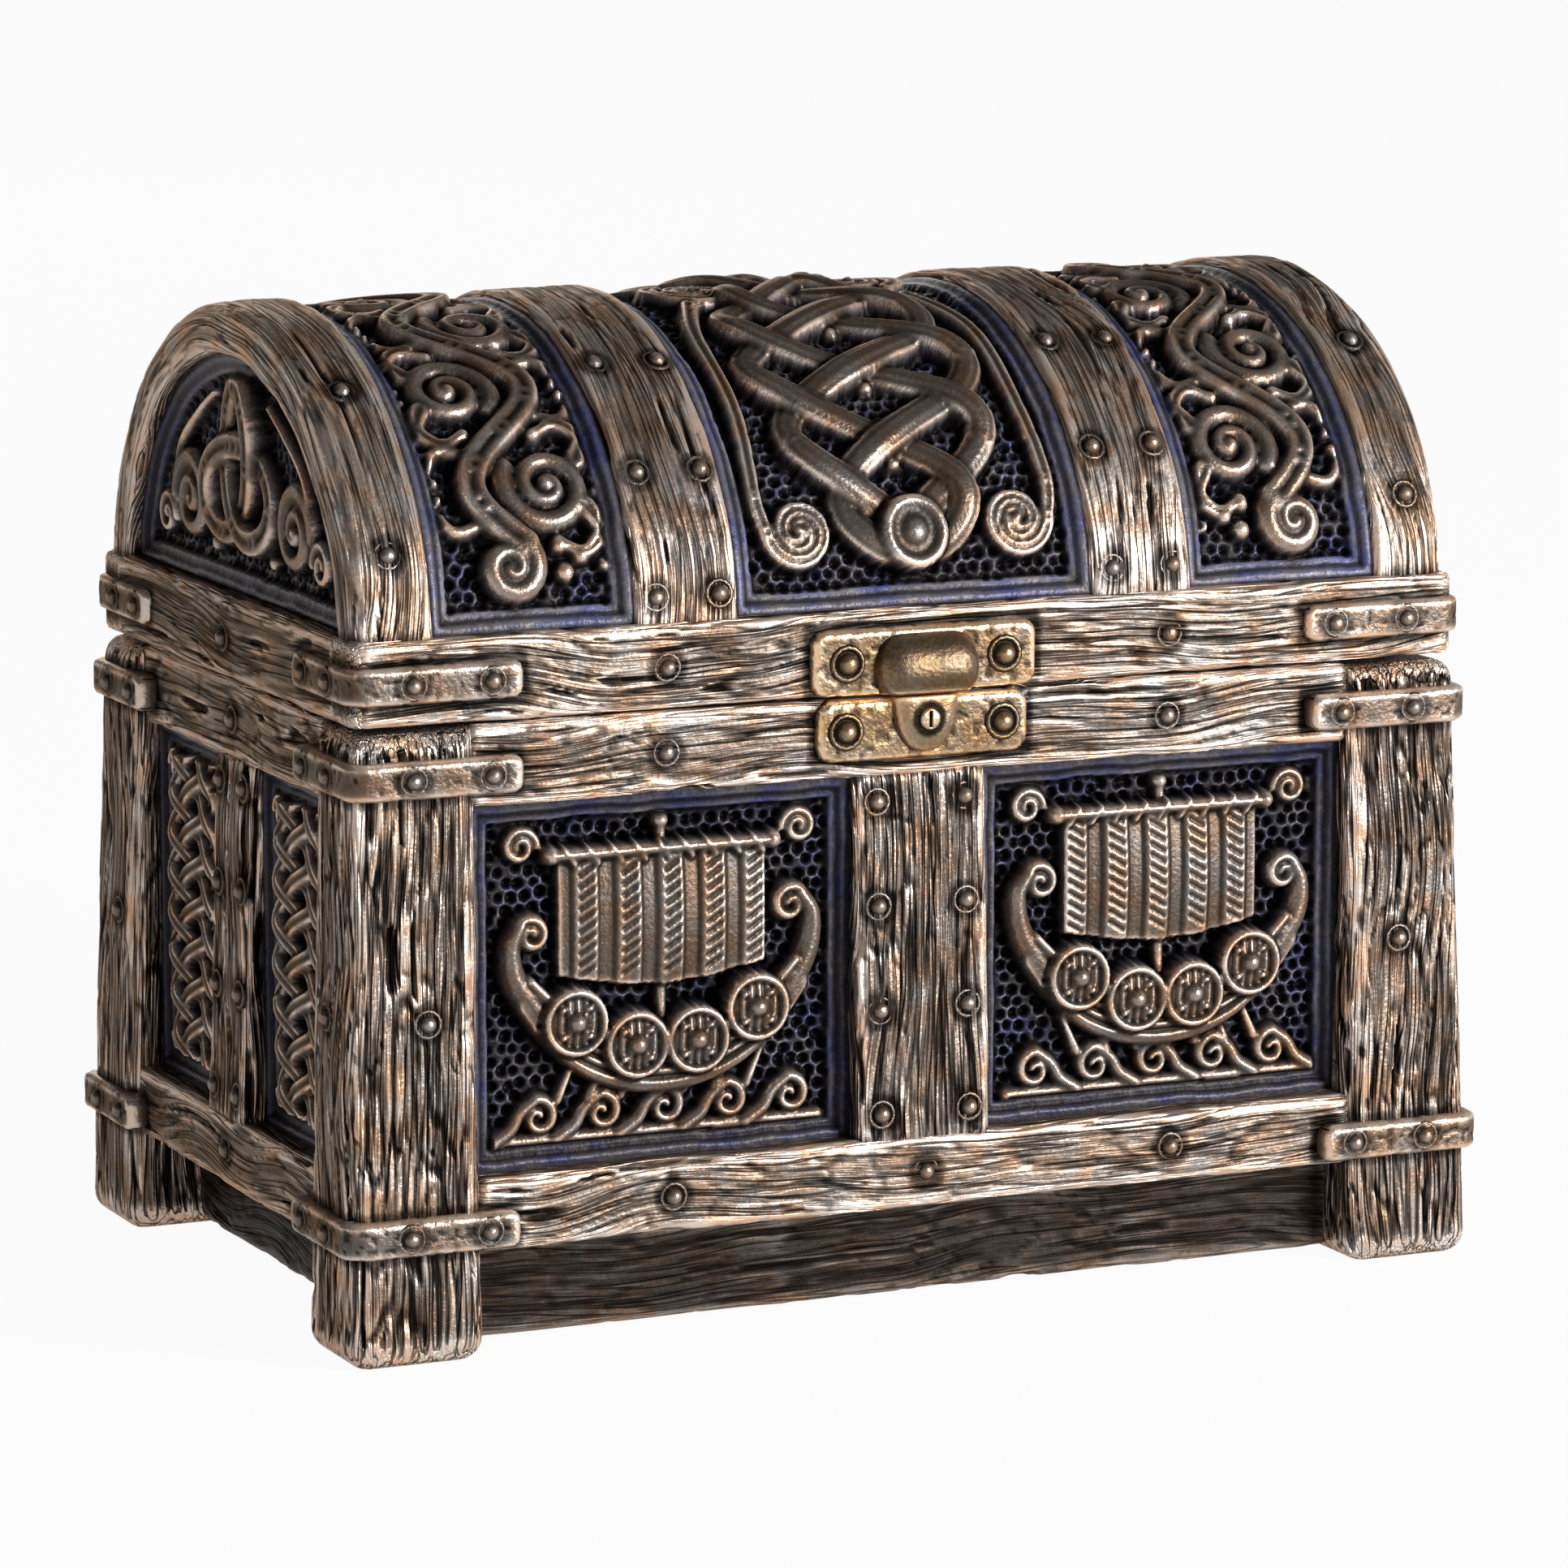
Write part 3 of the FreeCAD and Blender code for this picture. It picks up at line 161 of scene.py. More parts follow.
bpy.ops.mesh.primitive_circle_add(vertices=96, radius=FLOOR_RADIUS, fill_type="NGON")
floor = bpy.context.object
floor.name = "paper_floor"
bpy.ops.mesh.primitive_cylinder_add(vertices=96, radius=FLOOR_RADIUS, depth=WALL_HEIGHT,
                                    end_fill_type="NOTHING", location=(0, 0, WALL_HEIGHT / 2))
wall_of_paper = bpy.context.object
wall_of_paper.name = "paper_wall"
paper, nodes, links, shader = new_finish("white_paper")
shader.inputs["Base Color"].default_value = (0.9, 0.9, 0.9, 1.0)
shader.inputs["Roughness"].default_value = 0.9
glow = nodes.new("ShaderNodeEmission")
rays = nodes.new("ShaderNodeLightPath")
seen = rays.outputs["Is Camera Ray"]
for kind in ("Is Glossy Ray", "Is Transmission Ray"):
    seen = math_of(nodes, links, "MAXIMUM", seen, rays.outputs[kind])
mix = nodes.new("ShaderNodeMixShader")
share = math_of(nodes, links, "MULTIPLY", seen, PAPER_GLOW)
fill_sockets(links, mix.inputs, (share, shader.outputs[0], glow.outputs[0]))
links.new(mix.outputs[0], nodes["Material Output"].inputs["Surface"])
for sheet_of_paper in (floor, wall_of_paper):
    sheet_of_paper.data.materials.append(paper)
print("paper floor and wall are set")

# %% [markdown]
# ## Nodes of a finish
# A finish is a small graph of nodes. By hand each node is added and wired in the shader editor. The same few
# kinds come again and again, so one helper per kind adds a node, fills its sockets and returns its output,
# and the finishes below read like recipes.

# %% Nodes of a finish
def ramp_of(nodes, links, source, stops):
    ramp = nodes.new("ShaderNodeValToRGB")
    elements = ramp.color_ramp.elements
    while len(elements) < len(stops):
        elements.new(0.5)
    for element, (place, colour) in zip(elements, stops):
        element.position = place
        element.color = (*colour, 1.0) if isinstance(colour, tuple) else (colour, colour, colour, 1.0)
    links.new(source, ramp.inputs[0])
    return ramp.outputs["Color"]


def mix_of(nodes, links, factor, first, second, blend="MIX"):
    mix = nodes.new("ShaderNodeMix")
    mix.data_type = "RGBA"
    mix.blend_type = blend
    fill_sockets(links, [mix.inputs[name] for name in ("Factor", "A", "B")], (factor, first, second))
    return mix.outputs["Result"]


def range_of(nodes, links, source, ends, values):
    spread = nodes.new("ShaderNodeMapRange")
    spread.inputs["From Min"].default_value, spread.inputs["From Max"].default_value = ends
    spread.inputs["To Min"].default_value, spread.inputs["To Max"].default_value = values
    links.new(source, spread.inputs["Value"])
    return spread


def bump_of(nodes, links, shader, height, strength, distance):
    bump = nodes.new("ShaderNodeBump")
    bump.inputs["Strength"].default_value = strength
    bump.inputs["Distance"].default_value = distance
    links.new(height, bump.inputs["Height"])
    links.new(bump.outputs["Normal"], shader.inputs["Normal"])


def add_up(nodes, links, total, *sources):
    for source, share in sources:
        total = math_of(nodes, links, "MULTIPLY_ADD", source, share, total)
    return total


def noise_of(nodes, links, vector, scale, detail, roughness=0.55):
    noise = nodes.new("ShaderNodeTexNoise")
    noise.inputs["Scale"].default_value = scale
    noise.inputs["Detail"].default_value = detail
    noise.inputs["Roughness"].default_value = roughness
    links.new(vector, noise.inputs["Vector"])
    return noise.outputs["Fac"]

print("helpers for nodes are ready")

# %% [markdown]
# ## Fibres and cracks in the finish
# Between the carved grooves the real timbers show finer lines: soft fibres, thin cracks and hairs. Carving
# them too would take millions of points, so the finish draws them. Noise that is pulled long along the grain
# gives fibres, and the places where such a noise crosses its middle give thin lines.

# %% Fibres and cracks in the finish
FIBRE_STRETCH = (75.0, 2200.0)
CHECK_STRETCH = (42.0, 1000.0)
HAIR_STRETCH = (90.0, 2000.0)


def stretched_noise(nodes, links, vector, stretch, detail):
    pulled = nodes.new("ShaderNodeVectorMath")
    pulled.operation = "MULTIPLY"
    pulled.inputs[1].default_value = (stretch[0], stretch[1], stretch[1])
    links.new(vector, pulled.inputs[0])
    return noise_of(nodes, links, pulled.outputs[0], 1.0, detail)


def thin_lines(nodes, links, vector, stretch, width):
    noise = stretched_noise(nodes, links, vector, stretch, 1.5)
    size = math_of(nodes, links, "ABSOLUTE", math_of(nodes, links, "SUBTRACT", noise, 0.5))
    line = range_of(nodes, links, size, (0.0, width), (1.0, 0.0))
    line.interpolation_type = "SMOOTHSTEP"
    return line.outputs["Result"]

print("helpers for fibres are ready")

# %% [markdown]
# ## The bronze finish
# The real chest looks cast: dark patina lies in every groove and the metal is rubbed bright on each ridge.
# A texture alone can't know where the ridges are, so each carved piece stores a point attribute named wear,
# measured from its own shape. In a few places wear is also lowered as painted shade or raised as painted light,
# as noted there. The finish turns wear into colour and roughness, and breaks it up with patches, specks, fine
# fibres and thin cracks. A second attribute, stain, says where the dark blue paint lies, which is less of a
# metal than the bronze, and grain holds coordinates that run along the timber.

# %% Bronze finish
PATCH_SCALE = 75.0
TARNISH_SCALE = 230.0
SPECK_SCALE = 2300.0
TOOTH_DEPTH = 0.00011
PAINT_DULLS = 0.8
BLUE_STOPS = [(0.10, 0.003), (0.40, 0.011), (0.60, 0.038), (0.80, 0.11), (1.0, 0.24)]
BLUE_TINTS = [(0.38, (0.95, 0.88, 0.96)), (0.52, (0.72, 0.72, 1.06)), (0.66, (0.46, 0.50, 1.18))]


def bronze_finish(name, stops, tints, metal, rough, lines, tooth, painted=False):
    finish, nodes, links, shader = new_finish(name)
    place = nodes.new("ShaderNodeTexCoord").outputs["Object"]
    marks = {}
    for mark in ("wear", "stain", "grain"):
        marks[mark] = nodes.new("ShaderNodeAttribute")
        marks[mark].attribute_name = mark
    along = marks["grain"].outputs["Vector"]
    fibre = stretched_noise(nodes, links, along, FIBRE_STRETCH, 3.0)
    checks = thin_lines(nodes, links, along, CHECK_STRETCH, 0.06)
    hairs = thin_lines(nodes, links, along, HAIR_STRETCH, 0.10)
    patches = noise_of(nodes, links, place, PATCH_SCALE, 4.0)
    specks = noise_of(nodes, links, place, SPECK_SCALE, 2.0)
    worn = add_up(nodes, links, marks["wear"].outputs["Fac"], (fibre, 0.11 * lines),
                  (checks, -0.25 * lines), (hairs, -0.08 * lines), (patches, 0.18), (specks, 0.22))
    worn = math_of(nodes, links, "SUBTRACT", worn, 0.205 - 0.055 * min(lines, 1.0))
    tarnish = noise_of(nodes, links, place, TARNISH_SCALE, 4.0, 0.65)
    stained = marks["stain"].outputs["Fac"]
    bright = mix_of(nodes, links, stained, ramp_of(nodes, links, worn, stops),
                    ramp_of(nodes, links, worn, BLUE_STOPS))
    tint = mix_of(nodes, links, stained, ramp_of(nodes, links, tarnish, tints),
                  ramp_of(nodes, links, tarnish, BLUE_TINTS))
    links.new(mix_of(nodes, links, 1.0, bright, tint, "MULTIPLY"), shader.inputs["Base Color"])
    gloss = range_of(nodes, links, worn, (0.25, 0.85), rough)
    links.new(gloss.outputs["Result"], shader.inputs["Roughness"])
    height = add_up(nodes, links, specks, (fibre, 0.7 * lines / tooth), (checks, -1.6 * lines / tooth),
                    (hairs, -0.45 * lines / tooth))
    bump_of(nodes, links, shader, height, 1.0, TOOTH_DEPTH * tooth)
    shader.inputs["Metallic"].default_value = metal
    if painted:
        bare = math_of(nodes, links, "MULTIPLY_ADD", stained, -PAINT_DULLS * metal, metal)
        links.new(bare, shader.inputs["Metallic"])
    shader.inputs["Specular IOR Level"].default_value = 0.12
    shader.inputs["Specular Tint"].default_value = (0.62, 0.50, 0.40, 1.0)
    return finish

print("the recipe for bronze is ready")

# %% [markdown]
# ## Six finishes from one recipe
# Wear picks a lightness from a row of stops, and tarnish picks a tint: pale bronze, brown or copper red.
# Timbers, posts, plinths, panels, straps and latch differ in these stops, in their gloss and in how strongly
# the lines show, so each is one call of the recipe. The latch is brass, so its tints are yellower.

# %% Six finishes from one recipe
TIMBER_STOPS = [(0.10, 0.005), (0.28, 0.026), (0.46, 0.068), (0.60, 0.116), (0.78, 0.28), (0.95, 0.60)]
STRAP_STOPS = [(0.10, 0.007), (0.30, 0.036), (0.46, 0.105), (0.62, 0.195), (0.80, 0.40), (0.97, 0.66)]
LATCH_STOPS = [(0.10, 0.008), (0.30, 0.036), (0.48, 0.115), (0.64, 0.24), (0.82, 0.55), (1.0, 0.85)]
# the darkest stops are painted shade for the plinths, which sit back in the shadow under the bottom rails
PLINTH_SHADE_STOPS = [(0.12, 0.0025), (0.40, 0.010), (0.60, 0.026), (0.85, 0.075), (1.0, 0.17)]
BRONZE_TINTS = [(0.36, (1.0, 0.88, 0.80)), (0.48, (1.0, 0.79, 0.65)), (0.62, (1.0, 0.64, 0.43))]
LATCH_TINTS = [(0.36, (1.0, 0.76, 0.55)), (0.50, (1.0, 0.69, 0.42)), (0.66, (1.0, 0.60, 0.29))]
timber_bronze = bronze_finish("timber_bronze", TIMBER_STOPS, BRONZE_TINTS, 0.7, (0.48, 0.35), 1.0, 0.5)
post_bronze = bronze_finish("post_bronze", TIMBER_STOPS, BRONZE_TINTS, 0.7, (0.46, 0.24), 1.9, 0.5)
# dark stops and little metal for the plinths: painted shade for boards set back under the rails
shaded_plinth_bronze = bronze_finish("shaded_plinth_bronze", PLINTH_SHADE_STOPS, BRONZE_TINTS, 0.2, (0.6, 0.45), 0.9, 0.5)
panel_bronze = bronze_finish("panel_bronze", TIMBER_STOPS, BRONZE_TINTS, 0.7, (0.44, 0.26), 0.0, 0.6, True)
strap_bronze = bronze_finish("strap_bronze", STRAP_STOPS, BRONZE_TINTS, 0.7, (0.44, 0.28), 0.0, 0.8)
latch_brass = bronze_finish("latch_brass", LATCH_STOPS, LATCH_TINTS, 0.8, (0.42, 0.24), 0.0, 0.6)
print("six bronze finishes")

# %% [markdown]
# ## Blocks and points
# Most pieces start as a cube that is set between two corners, as a joiner starts from a sawn block. An
# operator works on whatever is selected, so the selection is cleared first. Carving moves thousands of points
# at once, and reading them into one array is far quicker than a loop over the vertices.

# %% Blocks and points
def clear_selection():
    if bpy.context.mode != "OBJECT":
        bpy.ops.object.mode_set(mode="OBJECT")
    bpy.ops.object.select_all(action="DESELECT")


def block(name, low, high):
    clear_selection()
    low, high = Vector(low), Vector(high)
    bpy.ops.mesh.primitive_cube_add(size=1.0, location=(low + high) / 2)
    piece = bpy.context.object
    piece.name = name
    piece.data.name = name
    piece.scale = high - low
    bpy.ops.object.transform_apply(location=True, rotation=True, scale=True)
    return piece


def use(piece):
    clear_selection()
    piece.select_set(True)
    bpy.context.view_layer.objects.active = piece


def vectors_of(items, key):
    flat = np.empty(len(items) * 3, np.float32)
    items.foreach_get(key, flat)
    return flat.reshape(-1, 3).astype(np.float64)


def points_of(piece):
    return vectors_of(piece.data.vertices, "co")


def set_points(piece, points):
    piece.data.vertices.foreach_set("co", np.ascontiguousarray(points, np.float32).ravel())
    piece.data.update()

print("blocks and points are ready")

# %% [markdown]
# ## Picking, rounding and cutting
# By hand, edges and faces are picked with the mouse. Here a small test on their place or normal picks them,
# so that one rule works on every piece. Rounding bevels the picked edges, and cutting divides all edges along
# one axis until they are short enough to carve. Loop cuts would do that too, but they need a window.

# %% Picking, rounding and cutting
MOST_CUTS = 90


def start_picking(piece, kind):
    use(piece)
    bpy.ops.object.mode_set(mode="EDIT")
    bpy.ops.mesh.select_mode(type=kind)
    bpy.ops.mesh.select_all(action="DESELECT")
    bpy.ops.object.mode_set(mode="OBJECT")


def pick_edges(piece, wanted):
    start_picking(piece, "EDGE")
    places = points_of(piece)
    for edge in piece.data.edges:
        edge.select = bool(wanted(places[edge.vertices[0]], places[edge.vertices[1]]))
    bpy.ops.object.mode_set(mode="EDIT")


def pick_faces(piece, wanted):
    start_picking(piece, "FACE")
    for face in piece.data.polygons:
        face.select = bool(wanted(face.center, face.normal))
    bpy.ops.object.mode_set(mode="EDIT")


def round_edges(piece, width, segments=2, wanted=lambda a, b: True):
    pick_edges(piece, wanted)
    bpy.ops.mesh.bevel(offset=width, segments=segments, affect="EDGES")
    bpy.ops.object.mode_set(mode="OBJECT")


def cut_along(piece, axis, step):
    while True:
        places = points_of(piece)
        ends = np.array([edge.vertices[:] for edge in piece.data.edges])
        run = np.abs(places[ends[:, 0]] - places[ends[:, 1]])
        along = (run[:, axis] > 0.75 * np.linalg.norm(run, axis=1)) & (run[:, axis] > 1.7 * step)
        if not along.any():
            return
        longest = run[along, axis].max()
        chosen = along & (run[:, axis] > 0.7 * longest)
        start_picking(piece, "EDGE")
        piece.data.edges.foreach_set("select", chosen)
        bpy.ops.object.mode_set(mode="EDIT")
        bpy.ops.mesh.subdivide(number_cuts=int(min(MOST_CUTS, max(1, round(longest / step) - 1))))
        bpy.ops.object.mode_set(mode="OBJECT")

print("picking is ready")

# %% [markdown]
# ## Closing a piece
# A finished piece has its faces outwards and its loose parts joined. It gets its finish, smooth shading and
# the body that it rides on, and the imported node that it replaces is hidden. One helper says all of that, so
# that no piece is forgotten.

# %% Closing a piece
def face_outwards(piece):
    use(piece)
    bpy.ops.object.mode_set(mode="EDIT")
    bpy.ops.mesh.select_all(action="SELECT")
    bpy.ops.mesh.normals_make_consistent(inside=False)
    bpy.ops.object.mode_set(mode="OBJECT")


def join(pieces):
    use(pieces[0])
    for piece in pieces[1:]:
        piece.select_set(True)
    bpy.ops.object.join()


def finish_piece(piece, node, body, material):
    piece.data.materials.clear()
    piece.data.materials.append(material)
    use(piece)
    bpy.ops.object.shade_smooth()
    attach(piece, body)
    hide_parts(node)

print("closing is ready")

# %% [markdown]
# ## Grain
# The timbers have grain that is cut deep, as weathered oak has. Sculpting each by hand would take days, so
# the points are moved in along their normals by a noise that is stretched along the timber: a groove runs
# where the noise crosses its middle, a crack where it is low, and elsewhere the wood keeps its face. The
# grain attribute sways with the grooves, so that the fibres of the finish lie in their direction.

# %% Grain
NOISE_TABLE = np.random.default_rng(29).random(8192)
GRAIN_LENGTH = 19 * MM
GRAIN_WIDTH = 1.75 * MM
GRAIN_SWAY = 2.0
SWAY_LENGTH = 14 * MM
LUMP_LENGTH = 6 * MM
LUMP_HEIGHT = 0.26 * MM
FIBRE_SWAY = 4.0 * MM


def smooth_noise(points):
    cell = np.floor(points).astype(np.int64)
    part = points - cell
    part = part * part * (3.0 - 2.0 * part)
    total = np.zeros(len(points))
    for corner in range(8):
        step = np.array([(corner >> k) & 1 for k in range(3)])
        at = cell + step
        key = (at[:, 0] * 73856093) ^ (at[:, 1] * 19349663) ^ (at[:, 2] * 83492791)
        key = (key ^ (key >> 15)) * 2654435761
        weight = np.prod(np.where(step, part, 1.0 - part), axis=1)
        total += weight * NOISE_TABLE[(key >> 9) % len(NOISE_TABLE)]
    return total


def smooth_step(low, high, value):
    t = np.clip((value - low) / (high - low), 0.0, 1.0)
    return t * t * (3.0 - 2.0 * t)


def normals_of(piece):
    return vectors_of(piece.data.vertex_normals, "vector")


def carve_grain(piece, axis, seed, depth, share):
    places = points_of(piece)
    normals = normals_of(piece)
    shift = np.array([seed * 3.71, seed * 5.13, seed * 1.97])
    sway = np.stack([smooth_noise(places / SWAY_LENGTH + shift + k * 9.1) for k in range(2)], axis=1) - 0.5
    across = [k for k in range(3) if k != axis]
    fine = np.empty_like(places)
    fine[:, 0] = places[:, axis] / GRAIN_LENGTH
    fine[:, 1:] = places[:, across] / GRAIN_WIDTH + GRAIN_SWAY * sway
    line = np.abs(smooth_noise(fine + shift) - 0.5)
    hair = np.abs(smooth_noise(fine * [2.1, 2.0, 2.0] + shift + 31.0) - 0.5)
    lump = smooth_noise(places / LUMP_LENGTH + shift + 57.0) - 0.5
    crack = smooth_noise(fine * [1.3, 1.9, 1.9] + shift + 77.0)
    side_face = smooth_step(0.8, 0.3, np.abs(normals[:, axis]))
    depth_here = LUMP_HEIGHT * lump - side_face * depth * (
        0.42 * smooth_step(0.08, 0.0, line) + 0.3 * smooth_step(0.08, 0.0, hair)
        + 1.4 * smooth_step(0.20, 0.12, crack))
    set_points(piece, places + normals * (share(places) * depth_here)[:, None])
    grain = piece.data.attributes.new("grain", "FLOAT_VECTOR", "POINT")
    in_face = 1.0 - np.abs(normals[:, across])
    laid = np.column_stack([places[:, axis], places[:, across] + FIBRE_SWAY * sway * in_face])
    grain.data.foreach_set("vector", laid.astype(np.float32).ravel())

print("grain is ready")

# %% [markdown]
# ## Wear
# On the real chest every ridge is rubbed bright and every groove stays dark. Wear is how far a point stands
# above the average of its neighbours, first of the near ones and then of a wider ring, which finds ridges,
# edges and grooves at once. A timber is cut fine, carved and rubbed in one go.

# %% Wear
STEP_ALONG = 0.5 * MM


def store(piece, name, values):
    attribute = piece.data.attributes.get(name) or piece.data.attributes.new(name, "FLOAT", "POINT")
    attribute.data.foreach_set("value", np.ascontiguousarray(values, np.float32))


def rub(piece, fine=3, broad=14, fine_gain=3.4, broad_gain=3.0, middle=None, lift=0.0):
    places = points_of(piece)
    normals = normals_of(piece)
    ends = np.empty(len(piece.data.edges) * 2, np.int32)
    piece.data.edges.foreach_get("vertices", ends)
    ends = ends.reshape(-1, 2)
    count = len(places)
    degree = np.maximum(np.bincount(ends.ravel(), minlength=count), 1)
    even = places.copy()
    wear = np.full(count, 0.5)
    for turn in range(1, broad + 1):
        for k in range(3):
            near = (np.bincount(ends[:, 0], even[ends[:, 1], k], count)
                    + np.bincount(ends[:, 1], even[ends[:, 0], k], count))
            even[:, k] = 0.4 * even[:, k] + 0.6 * near / degree
        proud = ((places - even) * normals).sum(axis=1) / MM
        if turn == fine:
            wear += np.clip(proud * fine_gain * 0.5, -0.3, 0.3)
    wear += np.clip(proud * broad_gain * 0.5, -0.35, 0.35)
    if middle is not None:
        wear += middle - np.median(wear)
    wear = np.clip(wear + lift, 0.0, 1.0)
    store(piece, "wear", wear)
    return wear


def even_share(places):
    return np.ones(len(places))


def timber(piece, axis, seed, across=0.3 * MM, depth=0.36 * MM, share=even_share, lift=0.0, gain=3.4):
    for k in range(3):
        if k != axis:
            cut_along(piece, k, across)
    cut_along(piece, axis, STEP_ALONG)
    carve_grain(piece, axis, seed, depth, share)
    rub(piece, fine_gain=gain, lift=lift)

print("wear is ready")

# %% [markdown]
# ## Corner posts
# Each corner is an upright that tapers towards the seam and ends below in a rounded foot. A post is an L in
# plan, because the lining stands inside it: a cube at the outer corner is extruded once along each wall. The
# foot is a full block under it, with its lower edges well rounded.

# %% Corner posts
LINING_GAP = 0.2 * MM
FOOT_TOP = sum(corner.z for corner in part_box("lower_corner_straps")) / 2
TOP_HALF = (62.6 * MM, 38.7 * MM)
POST_EDGE = 2.3 * MM
FOOT_EDGE = 2.5 * MM
POST_GRAIN = 0.62 * MM
FOOT_GRAIN = 0.7 * MM
POST_GAIN = 5.0
TOLERANCE = 0.05 * MM
lining_low, lining_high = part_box("inner_box")


def corner_post(front, left, seed):
    name = "post_%s_%s" % ("front" if front else "back", "left" if left else "right")
    low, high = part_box(name)
    side, face = (-1 if left else 1), (-1 if front else 1)
    outer = (low.x if left else high.x, low.y if front else high.y)
    inner = (high.x if left else low.x, high.y if front else low.y)
    notch = (lining_low.x - LINING_GAP if left else lining_high.x + LINING_GAP,
             lining_low.y - LINING_GAP if front else lining_high.y + LINING_GAP)

    def between(a, b, bottom, top):
        return ((min(a[0], b[0]), min(a[1], b[1]), bottom), (max(a[0], b[0]), max(a[1], b[1]), top))

    shaft = block(name + ".dressed", *between(outer, notch, FOOT_TOP - 0.8 * MM, high.z))
    pick_faces(shaft, lambda centre, normal: normal.x * side < -0.9)
    bpy.ops.mesh.extrude_region_move(TRANSFORM_OT_translate={"value": (inner[0] - notch[0], 0, 0)})
    pick_faces(shaft, lambda centre, normal: normal.y * face < -0.9 and abs(centre.x) > abs(notch[0]))
    bpy.ops.mesh.extrude_region_move(TRANSFORM_OT_translate={"value": (0, inner[1] - notch[1], 0)})
    bpy.ops.object.mode_set(mode="OBJECT")

    def outer_top_edge(a, b):
        on_face = any(max(abs(a[k] - outer[k]), abs(b[k] - outer[k])) < TOLERANCE for k in range(2))
        return on_face and max(a[2], b[2]) > high.z - TOLERANCE

    round_edges(shaft, POST_EDGE, 5, outer_top_edge)
    foot = block(name + ".foot", *between(outer, inner, 0.0, FOOT_TOP))
    round_edges(foot, FOOT_EDGE, 6, lambda a, b: min(a[2], b[2]) < 0.1 * MM)
    timber(shaft, 2, seed, depth=POST_GRAIN, gain=POST_GAIN,
           share=lambda places: 1.0 + 0.9 * smooth_step(high.z - 4.0 * MM, high.z - 2.0 * MM, places[:, 2]))
    timber(foot, 2, seed + 17.0, depth=FOOT_GRAIN, gain=POST_GAIN, lift=-0.04,
           share=lambda places: smooth_step(0.6 * MM, 4.2 * MM, places[:, 2]))
    join([shaft, foot])
    places = points_of(shaft)
    taper = np.array([abs(outer[0]) - TOP_HALF[0], abs(outer[1]) - TOP_HALF[1]]) * places[:, 2:3] / high.z
    for k in range(2):
        reach = np.clip((np.abs(places[:, k]) - abs(inner[k])) / (abs(outer[k]) - abs(inner[k])), 0.0, 1.0)
        places[:, k] -= np.sign(outer[k]) * taper[:, k] * reach
    places[:, 2] = np.maximum(places[:, 2], 0.0)
    set_points(shaft, places)
    finish_piece(shaft, name, "base", post_bronze)
    return shaft


posts = [corner_post(front, left, 3 + 2 * i) for i, (front, left) in
         enumerate(((True, True), (True, False), (False, True), (False, False)))]
print("posts:", [len(post.data.polygons) for post in posts])

# %% [markdown]
# ## Rails, stiles and plinths
# Between the posts run the rails, with the stiles upright in the middle of each wall and boards set back
# below; these boards are coloured dark as painted shade, for the shadow that the rails cast on them. Each is
# a beam cut to the room between its neighbours, with its edges broken, and a stile leans a little, because the
# bottom rail stands further out than the top one.

# %% Rails, stiles and plinths
WALLS = ("front", "back", "left", "right")
OVERLAP = 0.5 * MM
BEAM_EDGE = 0.7 * MM
POST_INNER = (abs(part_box("post_front_left")[1].x), abs(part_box("post_front_left")[1].y))


def long_axis(wall):
    return 0 if wall in ("front", "back") else 1


def outward(wall):
    return -1 if wall in ("front", "left") else 1


def beam(name, axis, low, high, seed, finish=timber_bronze, slope=None, **grain):
    piece = block(name + ".dressed", low, high)
    round_edges(piece, BEAM_EDGE, 2)
    timber(piece, axis, seed, **grain)
    if slope:
        slope(piece)
    finish_piece(piece, name, "base", finish)


def wall_rail(kind, wall, seed, finish=timber_bronze, **grain):
    name = kind + "_" + wall
    low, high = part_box(name)
    axis = long_axis(wall)
    reach = POST_INNER[axis] + OVERLAP
    low[axis], high[axis] = -reach, reach
    beam(name, axis, low, high, seed, finish, **grain)


def leaning_stile(wall, seed):
    name = "stile_" + wall
    low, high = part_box(name)
    axis, side = 1 - long_axis(wall), (outward(wall) + 1) // 2
    top_box, bottom_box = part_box("top_rail_" + wall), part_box("bottom_rail_" + wall)
    top_face, bottom_face = top_box[side][axis], bottom_box[side][axis]
    low.z, high.z = bottom_box[1].z - OVERLAP, top_box[0].z + OVERLAP
    (low, high)[side][axis] = bottom_face

    def lean(piece):
        places = points_of(piece)
        rise = np.clip((places[:, 2] - low.z) / (high.z - low.z), 0.0, 1.0)
        places[:, axis] += rise * (top_face - bottom_face)
        set_points(piece, places)

    beam(name, 2, low, high, seed, post_bronze, lean, gain=POST_GAIN)


for number, wall in enumerate(WALLS):
    wall_rail("top_rail", wall, 21 + number, lift=0.045)
    wall_rail("bottom_rail", wall, 31 + number, lift=0.05)
    # the plinth's negative lift darkens it further, as painted shade under the rails
    wall_rail("plinth", wall, 41 + number, shaded_plinth_bronze, across=0.45 * MM, lift=-0.05)
    leaning_stile(wall, 51 + number)
print("twelve beams and four stiles")

# %% [markdown]
# ## Lid rim
# The lid closes on a rim of four rails. The long ones run from corner to corner with rounded ends, and the
# short ones stand between them, so each gets its own block and the same grain as the frame below.

# %% Lid rim
LONG_RIM_INNER = abs(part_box("rim_rail_front")[1].y)
RIM_CORNER = 1.6 * MM
RIM_EDGE = 0.8 * MM


